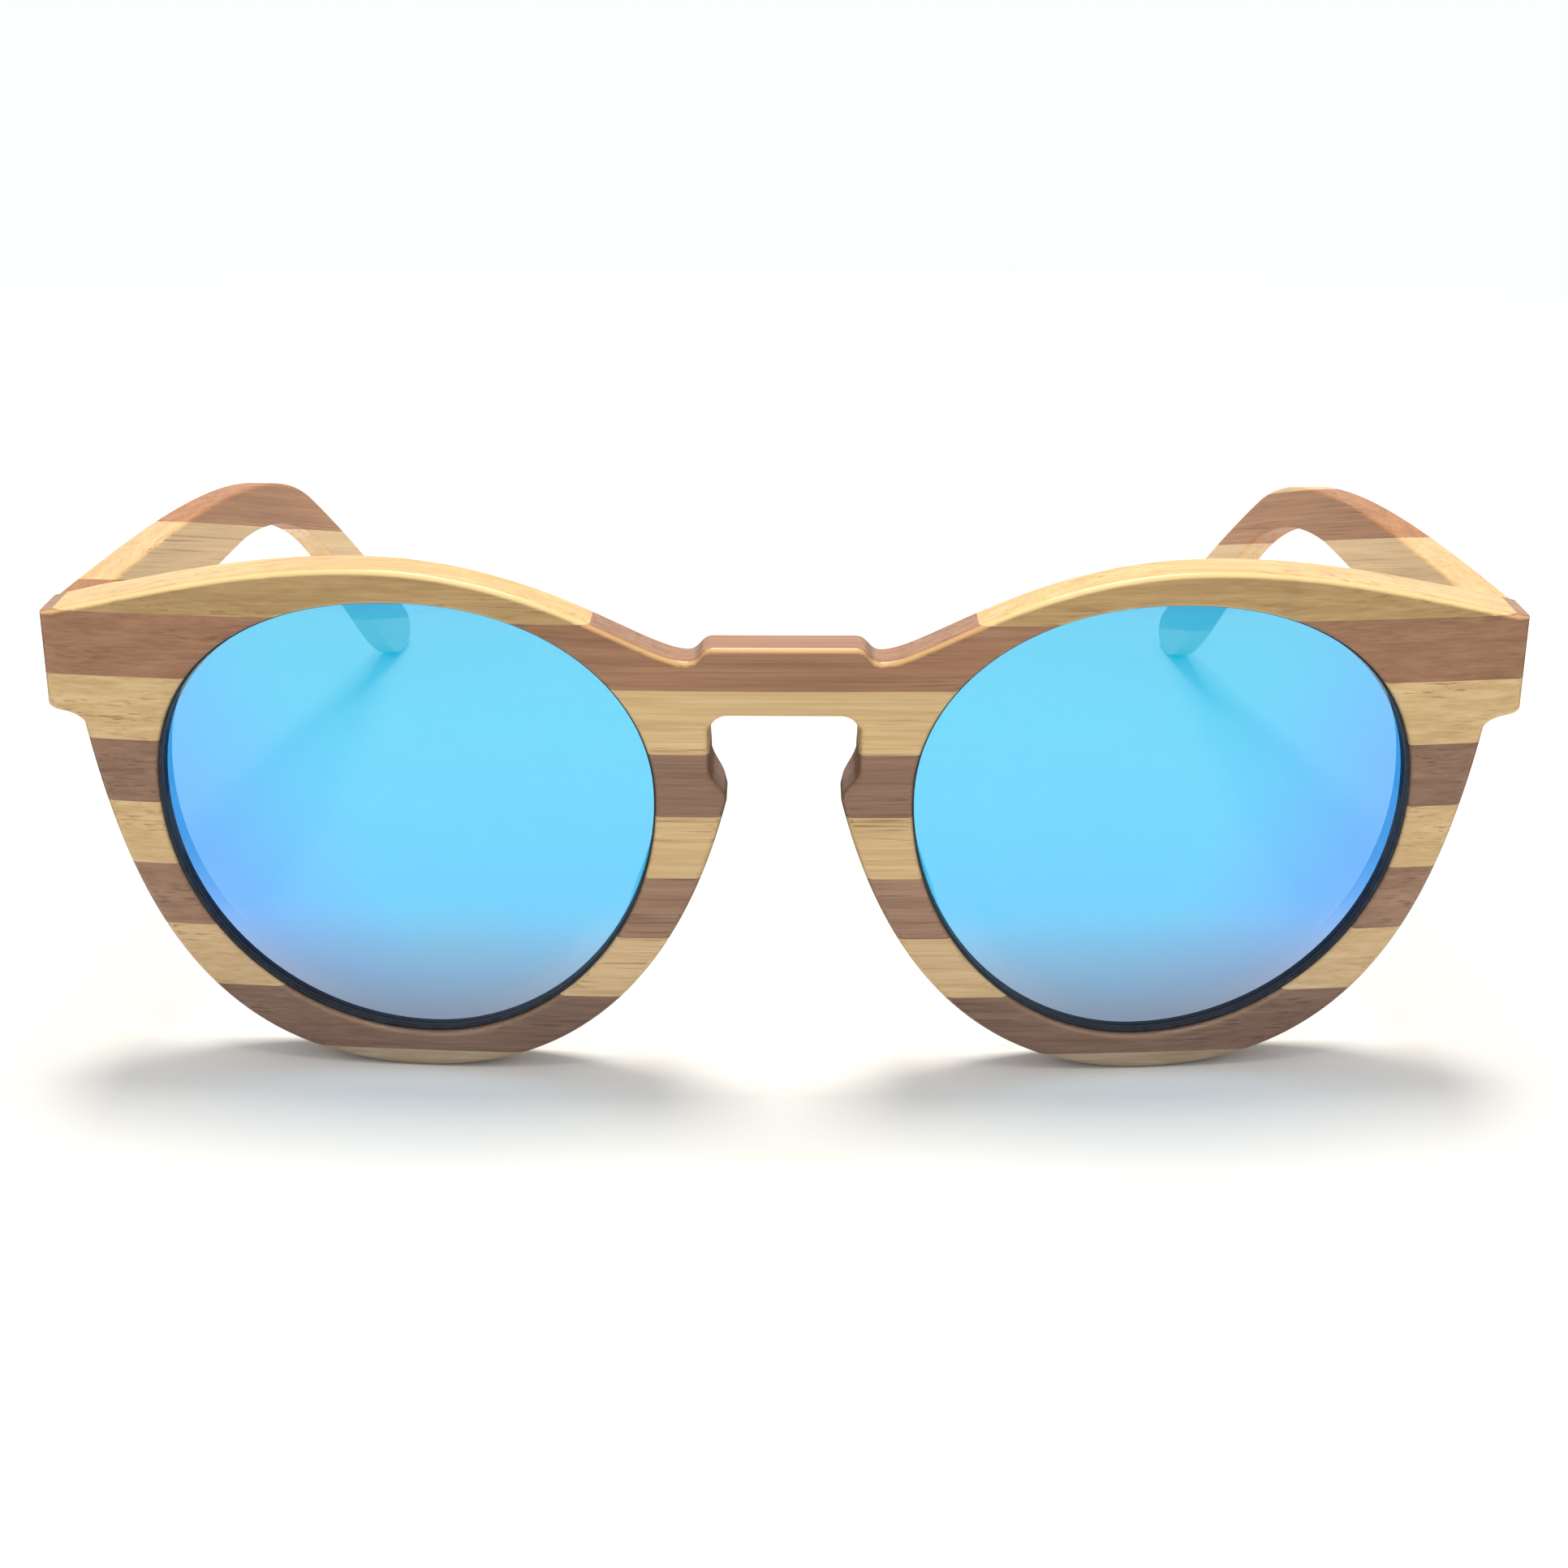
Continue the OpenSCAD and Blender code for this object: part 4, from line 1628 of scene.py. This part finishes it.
@dataclass
class Hinge:
    """One barrel hinge with its leaves, its pin screw and the screws that hold the leaves."""

    side: Side
    front: Front
    temple: Temple
    edge: float = 0.1
    flat: float = 2.0
    sharp: float = 40.0
    height: float = 5.8
    leaf: float = 0.9
    pocket: float = 0.4
    axis: Point = (2.0, 1.8)
    front_in: float = 3.0
    hole_in: float = 0.4
    front_holes: Point = (-1.6, 1.6)
    temple_holes: Point = (3.4, 7.6)
    slot_turns: Point = (35, 105)
    screw_sharp: float = 35.0
    leaf_screw: Screw = field(default_factory=lambda: Screw(0.9, 0.4, 0.5, 3.0))
    pin: Screw = field(default_factory=lambda: Screw(1.1, 0.5, 0.6, 5.8, 0.32))

    @property
    def middle(self) -> float:
        """Height of the middle of the hinge."""
        return self.front.end_bottom + self.front.end_height / 2

    def axis_place(self) -> Vector:
        """The middle of the hinge axis, in metres."""
        return self.temple.placed(-self.axis[0], self.axis[1], self.middle)

    def seats(self) -> dict[str, list[Matrix]]:
        """Find where the heads of the screws sit.

        Returns:
            The seats of each screw node, with Z out of the hole.
        """
        word, sign, temple = self.side.word, self.side.value, self.temple
        pin = Matrix.Translation(self.axis_place() + Vector((0, 0, self.height / 2 * MM)))
        inward = temple.placed(-1, 0, 0) - temple.placed(0, 0, 0)
        on_temple = inward.to_track_quat("Z", "Y").to_matrix().to_4x4()
        ys = [self.axis[1] + y for y in self.temple_holes]
        holes = [temple.placed(-self.leaf, y, self.middle) for y in ys]
        x = sign * self.axis_place().x / MM - self.front_in
        turn = math.asin(x / self.front.inner)
        out = Vector((-sign * math.sin(turn), math.cos(turn), 0))
        along = Vector((sign * math.cos(turn), math.sin(turn), 0))
        face = Vector((sign * x * MM, foremost + self.front.inner_y(x) * MM, self.middle * MM))
        face += (out * (self.leaf - self.pocket) - along * self.hole_in) * MM
        on_front = out.to_track_quat("Z", "Y").to_matrix().to_4x4()
        places = [face + Vector((0, 0, z * MM)) for z in self.front_holes]
        return {
            f"{word}_hinge_screw": [pin],
            f"{word}_front_leaf_screws": [Matrix.Translation(at) @ on_front for at in places],
            f"{word}_temple_leaf_screws": [Matrix.Translation(at) @ on_temple for at in holes],
        }

    def build(self) -> None:
        """Round the leaves, set the screws and dress them."""
        word = self.side.word
        for body in ("front", "temple"):
            node, rides = f"{word}_hinge_{body}_leaf", self.rides(body)
            steel = HINGE_STEEL.material(f"steel_{node}")
            dress(self.rounded(node), steel, rides, HINGE_STEEL.slot, node)
        turned = {kind: kind.turned() for kind in (self.pin, self.leaf_screw)}
        for node, seats in self.seats().items():
            kind = self.pin if len(seats) == 1 else self.leaf_screw
            copies = [kind.copy(turned[kind], *set_in) for set_in in zip(seats, self.slot_turns)]
            piece = Bench.join(copies)
            piece.name = f"steel_{node}"
            Bench.outward(piece)
            Bench.smooth(piece, self.screw_sharp)
            steel = SCREW_STEEL.material(f"steel_{node}")
            dress(piece, steel, self.rides(node), SCREW_STEEL.slot, node)
        for screw in turned.values():
            Bench.drop(screw)

    def rides(self, name: str) -> str:
        """The body that a piece of that name rides on."""
        return self.temple.body if "temple" in name else "front"

    def rounded(self, node: str) -> Piece:
        """Copy a CAD node, merge its points and round its edges.

        Args:
            node: Name of the node.

        Returns:
            The rounded copy.
        """
        piece = Bench.copied(f"steel_{node}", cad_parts[node])
        Bench.outward(piece)
        with Bench.editing(piece):
            bpy.ops.mesh.dissolve_limited(angle_limit=math.radians(self.flat))
        bevel = piece.modifiers.new("round", "BEVEL")
        bevel.width = self.edge * MM
        bevel.segments = 2
        bevel.limit_method = "ANGLE"
        bevel.angle_limit = math.radians(self.sharp)
        bevel.use_clamp_overlap = False
        bpy.ops.object.modifier_apply(modifier="round")
        Bench.smooth(piece, self.sharp)
        return piece


@dataclass(frozen=True)
class Lamp:
    """A square lamp, placed in metres."""

    name: str
    place: Triple
    target: Triple
    size: float
    power: float
    colour: Colour

    def hang(self) -> None:
        """Hang the lamp and point it at its target."""
        data = bpy.data.lights.new(self.name, "AREA")
        data.size = self.size
        data.energy = self.power
        data.color = self.colour
        lamp = bpy.data.objects.new(self.name, data)
        lamp.location = self.place
        aim = Vector(self.target) - Vector(self.place)
        lamp.rotation_euler = aim.to_track_quat("-Z", "Y").to_euler()
        bpy.context.collection.objects.link(lamp)


LAMPS = (
    Lamp("key", (0.0, 0.28, 1.10), (0.0, -0.03, 0.0), 0.46, 12.8, (1.0, 0.94, 0.82)),
    Lamp("front_fill", (-0.30, -1.00, 0.60), (0.0, -0.07, 0.03), 0.70, 0.4, WHITE),
    Lamp("edge_gleam", (0.0, -0.39, 0.96), (0.0, -0.07, 0.04), 0.09, 0.9, (1.0, 0.86, 0.60)),
)


@dataclass
class Studio:
    """White floor, soft light and the camera."""

    camera_y: float = -224.07
    camera_z: float = 115.73
    pitch: float = 20.609
    roll: float = 0.2
    focal: float = 56.47
    sensor: float = 36.0
    nearest: float = 0.01
    floor_radius: float = 0.45
    floor_tones: tuple[Colour, Colour] = ((0.77, 0.77, 0.77), (0.80, 0.80, 0.795))
    sky: float = 0.76
    backdrop: float = 1.02
    air: Colour = (0.96, 0.98, 1.0)

    def build(self) -> None:
        """Lay the floor, hang the lamps and stand up the camera."""
        self.floor()
        self.world()
        for lamp in LAMPS:
            lamp.hang()
        camera = bpy.data.objects.new("camera", bpy.data.cameras.new("camera"))
        camera.data.lens = self.focal
        camera.data.sensor_width = self.sensor
        camera.data.clip_start = self.nearest
        camera.location = (0.0, foremost + self.camera_y * MM, self.camera_z * MM)
        tilt = Euler((math.radians(90 - self.pitch), 0.0, 0.0)).to_matrix()
        roll = Matrix.Rotation(math.radians(self.roll), 3, "Z")
        camera.rotation_euler = (tilt @ roll).to_euler()
        bpy.context.collection.objects.link(camera)
        bpy.context.scene.camera = camera
        bpy.context.scene.view_settings.view_transform = "Standard"

    def floor(self) -> None:
        """Lay a wide pale sheet under the glasses."""
        bpy.ops.object.select_all(action="DESELECT")
        radius = self.floor_radius
        bpy.ops.mesh.primitive_circle_add(vertices=96, radius=radius, fill_type="NGON")
        floor = bpy.context.object
        floor.name = "floor"
        g = Graph.material("floor_white")
        speckle = g.noise(g.place(), (0.05,) * 3, detail=3.0)
        tone = g.mix(speckle, *self.floor_tones)
        g.surface(Base_Color=tone, Roughness=0.9, Specular_IOR_Level=0.1)
        floor.data.materials.append(g.block)

    def world(self) -> None:
        """Light the room evenly, and show white where nothing stands."""
        g = Graph(bpy.data.worlds.new("room"), "Background")
        bpy.context.scene.world = g.block
        rays = g.node("LightPath").outputs
        kinds = ("Is Camera Ray", "Is Transmission Ray", "Is Glossy Ray")
        shown = g.math("MAXIMUM", *(rays[kind] for kind in kinds))
        strength = g.span(shown, 0.0, 1.0, self.sky, self.backdrop)
        g.surface(Color=(*self.air, 1.0), Strength=strength)


def main() -> None:
    """Build the glasses in order, then the studio."""
    logging.basicConfig(level=logging.INFO, format="%(name)s: %(message)s")
    front = Front()
    front.build()
    for side, strips, shift in ((Side.LEFT, 5, 0.0), (Side.RIGHT, 4, 1.4)):
        temple = Temple(side, front, strips, shift)
        temple.build()
        Lens(side, front).build()
        Hinge(side, front, temple).build()
    Studio().build()


if __name__ == "__main__":
    main()
